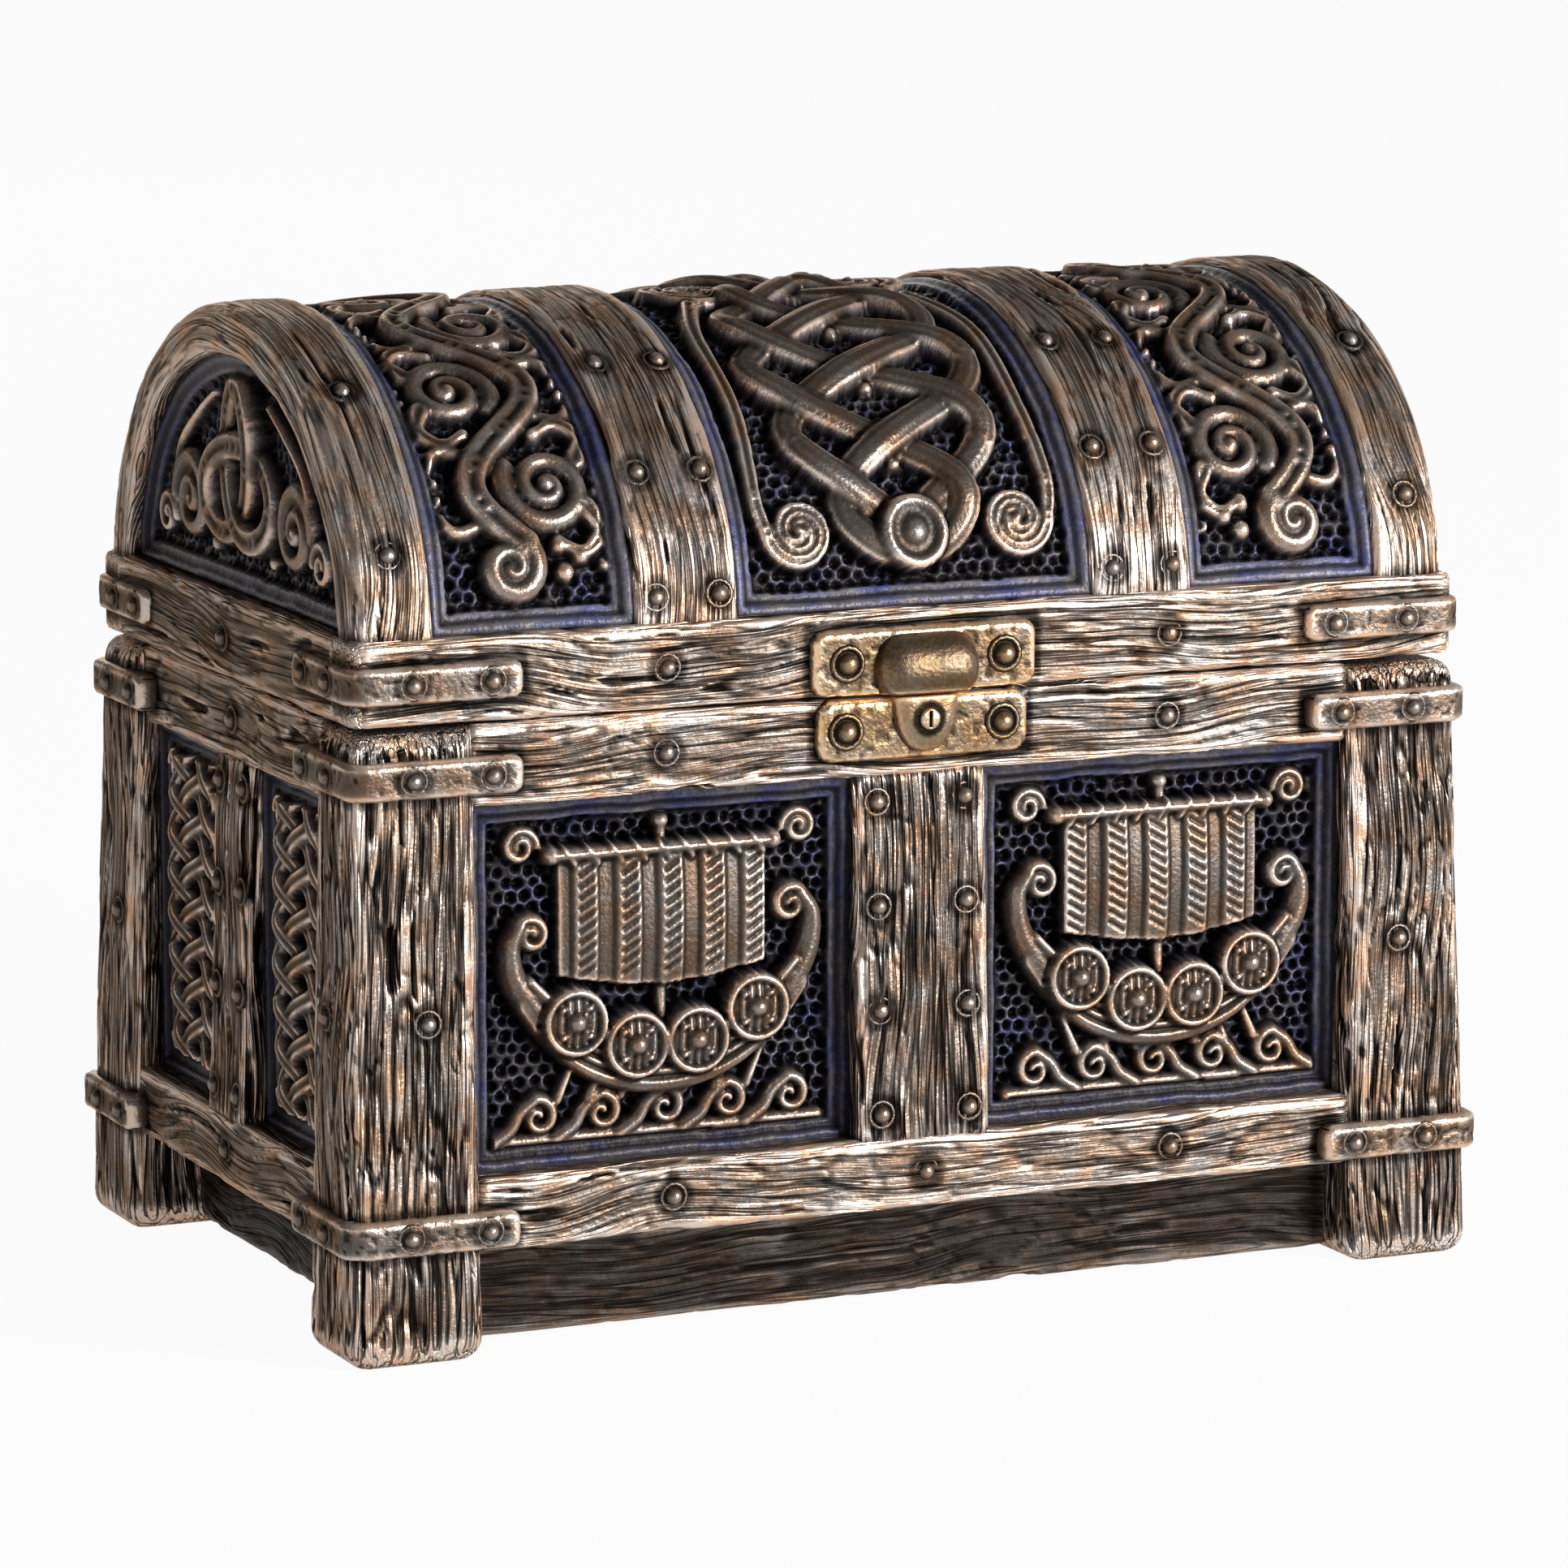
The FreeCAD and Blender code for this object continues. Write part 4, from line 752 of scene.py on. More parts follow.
def rim_rail(wall, seed):
    name = "rim_rail_" + wall
    low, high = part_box(name)
    axis = long_axis(wall)
    if axis == 1:
        low.y, high.y = -LONG_RIM_INNER - OVERLAP, LONG_RIM_INNER + OVERLAP
    piece = block(name + ".dressed", low, high)
    if axis == 0:
        outer = max(abs(low.y), abs(high.y))
        round_edges(piece, RIM_CORNER, 4,
                    lambda a, b: abs(a[2] - b[2]) > 4 * MM and abs(a[1]) > outer - 0.1 * MM)
    round_edges(piece, RIM_EDGE, 2, lambda a, b: abs(a[2] - b[2]) < 0.1 * MM)
    timber(piece, axis, seed, lift=0.05)
    places = points_of(piece)
    places[:, 2] = np.maximum(places[:, 2], low.z)
    set_points(piece, places)
    finish_piece(piece, name, "lid", timber_bronze)


for number, wall in enumerate(WALLS):
    rim_rail(wall, 61 + number)
print("four rim rails")

# %% [markdown]
# ## Hoops of the lid
# Four flat bands bend over the lid. Grain follows the bend, so a hoop is carved as a straight board, with
# one side along the arc, and is then laid over an ellipse by arc length. Bending by operator needs a window,
# so a small table of arc lengths does it, and the carved panels of the lid use the same table later.

# %% Hoops of the lid
SPRING = 72.0 * MM
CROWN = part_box("end_hoop_left")[1].z
RIM_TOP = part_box("rim_rail_front")[1].z
HOOP_RISE = CROWN - SPRING
HOOP_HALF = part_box("end_hoop_left")[1].y / math.sqrt(1 - ((RIM_TOP - SPRING) / HOOP_RISE) ** 2)
HOOP_THICK = 5.4 * MM
HOOP_EDGE = 0.8 * MM
END_HOOP_EDGE = 2.3 * MM
HOOPS = ("end_hoop_left", "middle_hoop_left", "middle_hoop_right", "end_hoop_right")


def arch_table(half, rise):
    angle = np.linspace(-math.pi / 2, math.pi / 2, 2001)
    y, z = half * np.sin(angle), rise * np.cos(angle)
    length = np.concatenate([[0.0], np.cumsum(np.hypot(np.diff(y), np.diff(z)))])
    return angle, length - length[1000]


def arch_reach(half, rise, height):
    angle, length = arch_table(half, rise)
    return float(np.interp(math.acos((height - SPRING) / rise), angle, length))


def lay_over_arch(piece, half, rise):
    angle, length = arch_table(half, rise)
    places = points_of(piece)
    turn = np.interp(places[:, 1], length, angle)
    lean = np.stack([np.sin(turn) / half, np.cos(turn) / rise], axis=1)
    lean /= np.linalg.norm(lean, axis=1, keepdims=True)
    height = places[:, 2].copy()
    places[:, 1] = half * np.sin(turn) + height * lean[:, 0]
    places[:, 2] = SPRING + rise * np.cos(turn) + height * lean[:, 1]
    set_points(piece, places)


def hoop(name, seed):
    low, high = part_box(name)
    reach = arch_reach(HOOP_HALF, HOOP_RISE, RIM_TOP - 0.6 * MM)
    piece = block(name + ".dressed", (low.x, -reach, -HOOP_THICK), (high.x, reach, 0.0))
    if "end" in name:
        outside = low.x if "left" in name else high.x
        round_edges(piece, END_HOOP_EDGE, 4, lambda a, b: min(a[2], b[2]) > -0.1 * MM
                    and abs(a[0] - b[0]) < MM and abs(a[0] - outside) < 0.1 * MM)
    round_edges(piece, HOOP_EDGE, 2, lambda a, b: abs(a[1] - b[1]) > 10 * MM and (
        min(a[2], b[2]) > -0.1 * MM or max(a[2], b[2]) < -HOOP_THICK + 0.1 * MM))
    timber(piece, 1, seed, across=0.34 * MM, depth=0.28 * MM, lift=0.15)
    lay_over_arch(piece, HOOP_HALF, HOOP_RISE)
    finish_piece(piece, name, "lid", timber_bronze)


for number, name in enumerate(HOOPS):
    hoop(name, 71 + number)
print(len(HOOPS), "hoops, arch half span", round(HOOP_HALF / MM, 2), "mm")

# %% [markdown]
# ## Drawing relief
# The panels are carved: a bronze ornament stands on a dark blue ground that is punched full of small pits,
# inside a stepped blue border. Such a surface is a height at every point, so a panel is drawn as a height
# field first, in millimetres, with two more layers for the blue paint and the pits. A bar's profile says how
# a strand is rounded across its width.

# %% Drawing relief
def relief_field(width, height, step):
    across = np.linspace(-width / 2, width / 2, int(round(width / step)) + 1)
    up = np.linspace(-height / 2, height / 2, int(round(height / step)) + 1)
    size = (len(across), len(up))
    return {"u": across, "v": up, "h": np.zeros(size), "blue": np.ones(size), "pit": np.zeros(size)}


def window(field, low, high):
    spans = []
    for key, k in (("u", 0), ("v", 1)):
        first = max(0, int(np.searchsorted(field[key], low[k])) - 1)
        spans.append(slice(first, int(np.searchsorted(field[key], high[k])) + 1))
    return tuple(spans)


def round_bar(r):
    return np.sqrt(np.clip(1.0 - r * r, 0.0, 1.0))


def ribbed_bar(r):
    return np.clip(1.0 - r ** 4, 0.0, 1.0) ** 0.5 - 0.30 * np.exp(-(r / 0.26) ** 2)


def flat_bar(r):
    return np.clip(1.0 - r ** 8, 0.0, 1.0) ** 0.5


def ribbon_bar(r):
    return np.clip(1.0 - r ** 5, 0.0, 1.0) ** 0.5 - 0.22 * np.exp(-((r - 0.60) / 0.15) ** 2)


def twin_bar(r):
    rolls = np.sqrt(np.clip(1.0 - ((r - 0.5) / 0.5) ** 2, 0.0, 1.0))
    return 0.6 * np.clip(1.0 - r ** 6, 0.0, 1.0) ** 0.5 + 0.4 * rolls

print("fields and bars are ready")

# %% [markdown]
# ## Strands, discs and grooves
# The ornament is laid on the field one strand after the other, and the higher one wins, which also lets
# strands pass over and under each other. A strand is measured in short runs, each in its own window of the
# field, because measuring all of the field for every step of a path would take too long. A disc is a very
# short strand, and a groove is taken away again.

# %% Strands, discs and grooves
RUN_LENGTH = 14


def strand(field, path, half, crown, lift=0.0, profile=round_bar):
    path = np.asarray(path, float)
    half = np.broadcast_to(half, len(path))
    lift = np.broadcast_to(lift, len(path))
    final = len(path) - 2
    for first in range(0, final + 1, RUN_LENGTH):
        last = min(first + RUN_LENGTH, final)
        reach = half[first:last + 2].max()
        win = window(field, path[first:last + 2].min(0) - reach, path[first:last + 2].max(0) + reach)
        u, v = field["u"][win[0]][:, None], field["v"][win[1]][None, :]
        near, base = np.full((u.size, v.size), 9.0), np.zeros((u.size, v.size))
        for k in range(first, last + 1):
            du, dv, run = u - path[k][0], v - path[k][1], path[k + 1] - path[k]
            t = (du * run[0] + dv * run[1]) / max(run @ run, 1e-12)
            beyond = (t < 0) & (k == first > 0) | (t > 1) & (k == last < final)
            t = np.clip(t, 0.0, 1.0)
            r = np.hypot(du - t * run[0], dv - t * run[1]) / (half[k] + (half[k + 1] - half[k]) * t)
            closer = (r < near) & ~beyond
            near = np.where(closer, r, near)
            base = np.where(closer, lift[k] + (lift[k + 1] - lift[k]) * t, base)
        rise = base + crown * profile(np.minimum(near, 1.0))
        here = field["h"][win]
        take = (near < 1.0) & (rise > here)
        here[take] = rise[take]
        field["blue"][win][take] = 0.0
        field["pit"][win][take] = 0.0


def groove(field, path, half, depth):
    path = np.asarray(path, float)
    cut = np.full(field["h"].shape, 9.0)
    for p, q in zip(path[:-1], path[1:]):
        win = window(field, np.minimum(p, q) - half, np.maximum(p, q) + half)
        du, dv = field["u"][win[0]][:, None] - p[0], field["v"][win[1]][None, :] - p[1]
        run = q - p
        t = np.clip((du * run[0] + dv * run[1]) / max(run @ run, 1e-12), 0.0, 1.0)
        cut[win] = np.minimum(cut[win], np.hypot(du - t * run[0], dv - t * run[1]) / half)
    field["h"] -= depth * np.clip(1.0 - cut * cut, 0.0, 1.0)


def disc(field, centre, radius, crown, lift=0.0, profile=round_bar):
    tiny = np.array([[0.0, 0.0], [1e-6, 0.0]]) + centre
    strand(field, tiny, radius, crown, lift, profile)

print("strands are ready")

# %% [markdown]
# ## Curls and easy lines
# The carver's lines are curls and long, easy bends. A curl is a circle whose radius shrinks, a ring is one
# whose radius stays, and an easy line passes through a few knots without a kink, as a bent lath does.

# %% Curls and easy lines
def spiral(centre, outer, inner, start, end, count=70):
    turn = np.radians(np.linspace(start, end, count))
    radius = np.linspace(outer, inner, count)
    return np.stack([centre[0] + radius * np.cos(turn), centre[1] + radius * np.sin(turn)], axis=1)


def ring(centre, radius, start=0.0, end=360.0, count=40):
    return spiral(centre, radius, radius, start, end, count)


def easy_line(knots, count=60):
    knots = np.asarray(knots, float)
    padded = np.vstack([2 * knots[0] - knots[1], knots, 2 * knots[-1] - knots[-2]])
    at = np.linspace(0, len(knots) - 1 - 1e-9, count)
    k = at.astype(int)
    t = (at - k)[:, None]
    a, b, c, d = padded[k], padded[k + 1], padded[k + 2], padded[k + 3]
    square, cube = 2 * a - 5 * b + 4 * c - d, 3 * b - a - 3 * c + d
    return 0.5 * (2 * b + (c - a) * t + square * t ** 2 + cube * t ** 3)

print("lines are ready")

# %% [markdown]
# ## Punched ground and stepped border
# The ground is struck full of round pits, close together and not quite in rows, so a pit sits at each point
# of a staggered grid, pushed a little aside. The border steps down twice towards the ground, and its edges
# are a little uneven, as cast ones are.

# %% Punched ground and stepped border
PIT_PITCH = 1.5
PIT_RADIUS = 0.51
PIT_SHOVE = 0.55
SHOVES = 256
BORDER_RISE = 1.25
BORDER_WIDTH = 2.3


def wide_noise(field, scale, seed):
    u, v = np.meshgrid(field["u"], field["v"], indexing="ij")
    flat = np.stack([u.ravel() / scale, v.ravel() / scale, np.full(u.size, seed)], axis=1)
    return smooth_noise(flat).reshape(u.shape)


def punch_pits(field, seed):
    u, v = np.meshgrid(field["u"], field["v"], indexing="ij")
    row_height = PIT_PITCH * math.sqrt(3) / 2
    shove = np.random.default_rng(seed).random((SHOVES, SHOVES, 3)) - 0.5
    nearest = np.full(u.shape, 9.0)
    row = np.floor(v / row_height).astype(int)
    for dr in (-1, 0, 1, 2):
        j = row + dr
        column = np.floor((u - (j % 2) * PIT_PITCH / 2) / PIT_PITCH).astype(int)
        for dc in (-1, 0, 1, 2):
            i = column + dc
            push = shove[i % SHOVES, j % SHOVES]
            pu = i * PIT_PITCH + (j % 2) * PIT_PITCH / 2 + push[..., 0] * PIT_SHOVE
            pv = j * row_height + push[..., 1] * PIT_SHOVE
            size = PIT_RADIUS * (1.0 + 0.5 * push[..., 2])
            nearest = np.minimum(nearest, np.hypot(u - pu, v - pv) / size)
    bowl = smooth_step(1.08, 0.72, nearest)
    lip = 0.07 * np.exp(-((nearest - 1.25) / 0.2) ** 2)
    field["h"] += lip - bowl
    field["pit"] = bowl


def border_height(edge):
    outer = smooth_step(1.15, 0.8, edge)
    middle = smooth_step(BORDER_WIDTH, 1.95, edge)
    return BORDER_RISE * (0.42 * outer + 0.58 * middle)


def edge_distance(field, hidden=0.0):
    across = field["u"][-1] - np.abs(field["u"])
    up = field["v"][-1] - np.abs(field["v"])
    return np.minimum(across[:, None], up[None, :]) - hidden


def stepped_border(field, edge):
    rough = edge + 0.35 * (wide_noise(field, 3.0, 7.7) - 0.5)
    step = border_height(rough) + 0.08 * (wide_noise(field, 0.8, 3.1) - 0.5)
    frame_zone = rough < BORDER_WIDTH
    field["h"] = np.where(frame_zone, np.maximum(step, 0.0), field["h"])
    field["blue"] = np.where(frame_zone, 1.0, field["blue"])
    field["pit"] = np.where(frame_zone, 0.0, field["pit"])

print("ground and border are ready")

# %% [markdown]
# ## From height field to carved sheet
# A grid primitive with one vertex per height gives the carved face. Wear comes from the shape again, the
# ground and the pits are kept darker, and the bronze is darkened low down near the ground, partly patina and
# partly painted shade. The raised border is made a little brighter, partly worn paint and partly painted light
# against the shade of the hoops on the lid, and the bronze parts lose the blue stain.

# %% Carved sheets
def soften(field, layer):
    for axis in (0, 1):
        near = np.pad(field[layer], [(1, 1) if k == axis else (0, 0) for k in (0, 1)], mode="edge")
        before, after = (near[:-2], near[2:]) if axis == 0 else (near[:, :-2], near[:, 2:])
        field[layer] = 0.5 * field[layer] + 0.25 * (before + after)


def carved_sheet(name, field, border_wear_and_light):
    clear_selection()
    soften(field, "h")
    soften(field, "blue")
    count = (len(field["u"]) - 1, len(field["v"]) - 1)
    bpy.ops.mesh.primitive_grid_add(x_subdivisions=count[0], y_subdivisions=count[1], size=1.0)
    sheet = bpy.context.object
    sheet.name = name
    sheet.data.name = name
    places = points_of(sheet)
    i = np.rint((places[:, 0] + 0.5) * count[0]).astype(int)
    j = np.rint((places[:, 1] + 0.5) * count[1]).astype(int)
    set_points(sheet, np.stack([field["u"][i], field["v"][j], field["h"][i, j]], axis=1) * MM)
    store(sheet, "stain", field["blue"][i, j])
    wear = rub(sheet, fine=2, broad=16, fine_gain=6.0, broad_gain=1.5)
    blue, height = field["blue"][i, j], field["h"][i, j]
    # raised blue border: worn paint lifted brighter, and on the lid also painted light against the hoops' shade
    wear += border_wear_and_light * blue * smooth_step(0.1, 0.4, height)
    # bronze low near the ground is darkened: patina in the hollows, and painted shade where the relief meets
    # the ground
    wear -= 0.3 * (1.0 - blue) * smooth_step(1.1, 0.1, height)
    wear -= 0.42 * field["pit"][i, j] + 0.20 * blue * smooth_step(0.4, 0.1, height)
    store(sheet, "wear", np.clip(wear, 0.0, 1.0))
    grain = sheet.data.attributes.new("grain", "FLOAT_VECTOR", "POINT")
    grain.data.foreach_set("vector", (points_of(sheet) * 0.2).astype(np.float32).ravel())
    return sheet

print("carved sheets are ready")

# %% [markdown]
# ## Closing the boards
# A sheet becomes a board: its rim is extruded back to one depth and the hole behind is filled. A board that
# belongs in a wall is then stood up there, with the ground a little behind the face of the solid. That can
# mirror it, so its normals are turned outwards at the end.

# %% Closing the boards
GROUND_SET_BACK = 0.5 * MM


def drop_faces(sheet, wanted):
    pick_faces(sheet, wanted)
    bpy.ops.mesh.delete(type="FACE")
    bpy.ops.object.mode_set(mode="OBJECT")


def sink_rim(sheet, depth):
    bpy.ops.mesh.extrude_region_move(TRANSFORM_OT_translate={"value": (0, 0, -depth)})
    bpy.ops.object.mode_set(mode="OBJECT")
    chosen = np.empty(len(sheet.data.vertices), bool)
    sheet.data.vertices.foreach_get("select", chosen)
    places = points_of(sheet)
    places[chosen, 2] = -depth
    set_points(sheet, places)
    bpy.ops.object.mode_set(mode="EDIT")


def back_up(sheet, depth):
    start_picking(sheet, "EDGE")
    bpy.ops.object.mode_set(mode="EDIT")
    bpy.ops.mesh.select_non_manifold()
    sink_rim(sheet, depth)
    bpy.ops.mesh.fill_holes(sides=0)
    face_outwards(sheet)


def stand_up(sheet, wall, face, centre):
    flat = points_of(sheet)
    out = np.empty_like(flat)
    axis, sign = long_axis(wall), outward(wall)
    face += -sign * GROUND_SET_BACK
    out[:, axis] = centre[axis] + (sign if axis else -sign) * flat[:, 0]
    out[:, 1 - axis] = face + sign * flat[:, 2]
    out[:, 2] = centre[2] + flat[:, 1]
    set_points(sheet, out)
    face_outwards(sheet)

print("carved boards are ready")

# %% [markdown]
# ## Front and back panels: a longship
# The four large panels carry a picture in low relief. This chest gets a plain longship under sail: a hull of
# planks with curled ends, a row of four round shields, a striped sail, oars and waves, with a curl in each
# upper corner. The two ships of a wall mirror each other.

# %% Longship
GROOVE = 1.4


def longship(field, facing, seed):
    punch_pits(field, seed)

    def turn(path):
        return np.asarray(path, float) * [facing, 1.0]

    def hull_line(u, offset=0.0):
        return np.stack([u, -9.0 + 7.2 * (np.abs(u) / 14.6) ** 2.3 + offset], axis=1)

    along = np.linspace(-14.6, 14.6, 60)
    strand(field, turn([(-17.5, -16.3), (17.5, -16.3)]), 0.95, 1.0)
    for k in range(-2, 3):
        crest = 7.0 * k
        back = easy_line([(crest - 4.6, -16.2), (crest - 2.6, -14.9), (crest - 1.5, -13.2),
                          (crest + 0.2, -11.9)], 20)
        curl = spiral((crest + 0.4, -13.8), 1.95, 0.35, 95, -330)
        strand(field, turn(back), np.linspace(0.95, 0.8, 20), 1.25)
        strand(field, turn(curl), np.linspace(0.8, 0.5, 70), 1.25)
    for k in range(-3, 4):
        start = np.array([-9.6 + 3.5 * (k + 3), -8.0])
        strand(field, turn([start, start + [-1.9, -4.2]]), [0.4, 0.7], 1.0, 0.2)
    thick = 3.4 - 1.7 * (np.abs(along) / 14.6) ** 2
    strand(field, turn(hull_line(along)), thick, 1.75, 0.1, flat_bar)
    for offset in (-1.5, -0.3, 0.9):
        groove(field, turn(hull_line(along * 0.95, offset)), 0.3, 0.45)
    strand(field, turn(hull_line(along, 2.3)), 0.55, 0.45, 1.6)
    bow = easy_line([(14.0, -2.6), (16.2, 1.2), (16.7, 5.0), (15.4, 7.4)], 30)
    strand(field, turn(bow), np.linspace(1.8, 1.0, 30), 1.8, 0.1)
    strand(field, turn(spiral((14.2, 6.3), 1.9, 0.4, 45, 500)), 0.75, 1.5, 0.25)
    stern = easy_line([(-14.0, -2.6), (-16.2, 0.8), (-16.6, 4.0), (-15.7, 6.2)], 30)
    strand(field, turn(stern), np.linspace(1.8, 1.0, 30), 1.8, 0.1)
    strand(field, turn(spiral((-14.5, 5.2), 1.8, 0.4, 140, -330)), 0.75, 1.5, 0.25)
    strand(field, turn([(0.0, -6.0), (0.0, 16.0)]), 0.8, 1.2)
    disc(field, turn((0.0, 15.9)), 1.1, 1.4)
    for k in range(-14, 15):
        u = 0.78 * k
        dip = 1.4 - 1.4 * math.cos(u / 10.9 * math.pi / 2)
        swell = 0.7 * math.cos(u / 10.9 * math.pi / 2.3)
        proud = 0.42 if (k // 3) % 2 == 0 else 0.0
        rows = np.linspace(12.9, -0.4 + dip, 12)
        belly = 0.7 + swell * np.sin(np.linspace(0.35, math.pi - 0.5, 12)) + proud
        strand(field, turn(np.stack([np.full(12, u), rows], axis=1)), 0.62, 0.35, belly, flat_bar)
    for stripe in range(-5, 5):
        if stripe % 2 == 0:
            for row in np.arange(0.6, 12.6, 1.15):
                left = 0.78 * 3 * stripe
                groove(field, turn([(left, row), (left + 1.6, row + 1.0)]), 0.2, 0.3)
    for k in range(-4, 5):
        strand(field, turn([(2.6 * k - 0.6, 14.0), (2.6 * k + 0.6, 12.2)]), 0.36, 0.5, 1.5)
    strand(field, turn([(-12.0, 13.2), (12.0, 13.2)]), 0.8, 1.3, 0.7)
    for side in (-1, 1):
        disc(field, turn((12.2 * side, 13.2)), 1.15, 1.5, 0.6)
        start = 90 + 90 * side
        strand(field, turn(spiral((15.4 * side, 14.2), 1.9, 0.4, start, start - 560 * side)), 0.62, 1.1)
    for k in range(4):
        u = 6.7 * (k - 1.5)
        middle = turn((u, float(hull_line(np.array([u]))[0, 1]) + 2.0))
        disc(field, middle, 3.55, 0.8, 1.75)
        for plank in (-2.2, -1.3, -0.4, 0.5, 1.4, 2.3):
            groove(field, middle + np.array([[plank, -2.9], [plank + 0.15, 2.9]]), 0.2, 0.32)
        strand(field, ring(middle, 3.15), 0.52, 0.65, 2.05)
        disc(field, middle, 1.05, 0.85, 2.3)
        for turn_at in range(0, 360, 90):
            disc(field, ring(middle, 2.05, turn_at + 45, turn_at + 45, 1)[0], 0.34, 0.4, 2.4)
    field["h"] = np.where(field["h"] > 0.3, 0.3 + 1.25 * (field["h"] - 0.3), field["h"])
    stepped_border(field, edge_distance(field, GROOVE))

print("the ship is drawn for each panel in turn")

# %% [markdown]
# ## Wall panels
# Each picture becomes a board in its opening of the frame. The front ones are seen closest, so their heights
# lie closer together than those of the back.

# %% Wall panels
PANEL_THICK = 2.0 * MM
WALL_BORDER_WEAR_AND_LIGHT = 0.04
FRONT_STEP = 0.2
BACK_STEP = 0.27


def wall_panel(name, wall, draw, step):
    low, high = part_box(name)
    axis = long_axis(wall)
    field = relief_field((high[axis] - low[axis]) / MM, (high.z - low.z) / MM, step)
    draw(field)
    sheet = carved_sheet(name + ".dressed", field, WALL_BORDER_WEAR_AND_LIGHT)
    back_up(sheet, PANEL_THICK - GROUND_SET_BACK)
    front_face = (low if outward(wall) < 0 else high)[1 - axis]
    stand_up(sheet, wall, front_face, (low + high) / 2)
    finish_piece(sheet, name, "base", panel_bronze)
    return sheet


for name, wall, facing, step, seed in (("panel_front_left", "front", 1, FRONT_STEP, 5),
                                       ("panel_front_right", "front", -1, FRONT_STEP, 6),
                                       ("panel_back_left", "back", -1, BACK_STEP, 7),
                                       ("panel_back_right", "back", 1, BACK_STEP, 8)):
    made = wall_panel(name, wall, lambda field: longship(field, facing, seed), step)
    print(name, len(made.data.polygons), "faces")

# %% [markdown]
# ## End panels: a plait
# The narrow panels of the ends are filled with interlace. Four strands swing from side to side like sine
# waves a quarter turn apart, and each rises and dips three times as fast, so that it passes over one
# neighbour and under the next. Pellets fill the bays at the edges.

# %% Plaited end panels
STRANDS = 4
END_STEP = 0.22


def plait(field, swing, period, half, crown, reach, bob=0.42, shift=0.0, profile=ribbed_bar):
    v = np.linspace(-reach, reach, int(reach * 5))
    for number in range(STRANDS):
        angle = 2 * math.pi * (v / period + number / STRANDS) + shift
        path = np.stack([swing(v) * np.sin(angle), v], axis=1)
        strand(field, path, half, crown, 0.45 + bob * np.cos(3 * angle), profile)


def plaited_end(field, seed):
    punch_pits(field, seed)
    plait(field, lambda v: 6.6 * np.cos(v / 17.2 * 1.2) ** 0.35, 17.5, 1.12, 1.25, 16.6)
    for side in (-1, 1):
        for v in (-13.2, -4.4, 4.4, 13.2):
            disc(field, (8.6 * side, v + 2.2 * side), 0.95, 1.1)
        start = 90 - 90 * side
        for end in (1, -1):
            curl = spiral((6.2 * side, 14.7 * end), 2.1, 0.4, start, start + 560 * side * end)
            strand(field, curl, 0.55, 1.2)
    stepped_border(field, edge_distance(field, GROOVE))


for number, (wall, place) in enumerate((w, p) for w in ("left", "right") for p in ("front", "back")):
    name = "panel_%s_%s" % (wall, place)
    made = wall_panel(name, wall, lambda field: plaited_end(field, 11 + number), END_STEP)
print("four end panels of", len(made.data.polygons), "faces")

# %% [markdown]
# ## Middle of the lid: a swelling plait
# Three panels fill the lid between the hoops, drawn flat with the arc length as their height. The middle one
# has a broad plait that swells and narrows, a boss at each end, and scrolls in the corners and at the crown.

# %% Swelling plait
def swelling_plait(field, seed):
    punch_pits(field, seed)
    reach = field["v"][-1] - 6.0
    for side in (-1, 1):
        for end in (-1, 1):
            start = 90 - 90 * side
            eye = (12.4 * side, (reach - 2.2) * end)
            curl = spiral(eye, 3.6, 0.5, start, start + 640 * side * end)
            stalk = easy_line([(16.0 * side, eye[1]), (16.6 * side, 38.0 * end), (15.9 * side, 28.0 * end),
                               (15.6 * side, 16.0 * end), (12.6 * side, 7.0 * end)])
            strand(field, curl, 0.95, 1.5, 0.0, ribbed_bar)
            strand(field, stalk, np.linspace(0.95, 1.2, 60), 1.5, 0.0, ribbed_bar)
            disc(field, eye, 0.9, 1.6)
        turn = -60 + 180 * (side < 0)
        eye = (9.6 * side, 1.2 * side)
        curl = spiral(eye, 5.2, 0.6, turn, turn + 700)
        strand(field, curl, np.linspace(1.25, 0.85, 70), 1.6, 0.0, ribbed_bar)
        disc(field, eye, 1.0, 1.9)

    def swell(v):
        return 3.4 + 9.0 * np.abs(np.sin(v / reach * math.pi)) ** 0.7

    for v in np.arange(-reach + 4.0, reach - 3.0, 5.0):
        for share in (-0.36, 0.0, 0.36):
            disc(field, (share * swell(v), v), 0.95, 1.15)
    plait(field, swell, 40.0, 1.85, 1.5, reach, bob=0.62, shift=0.4, profile=ribbon_bar)
    for end in (-1, 1):
        clasp = (0.0, (reach - 1.2) * end)
        disc(field, clasp, 3.9, 0.5, 2.15, flat_bar)
        strand(field, ring(clasp, 3.1), 0.75, 0.7, 2.4)
        disc(field, clasp, 1.4, 0.8, 2.5)
    stepped_border(field, edge_distance(field))

print("the plait is ready")

# %% [markdown]
# ## Sides of the lid: a scrolling vine
# The outer panels carry a vine: a stem that swings from side to side like a sine wave, a scroll in each of
# its bays, leaves and tendrils between them, and pellets in what room is left. Each end of the stem curls up
# on the side where the next scroll is further away.

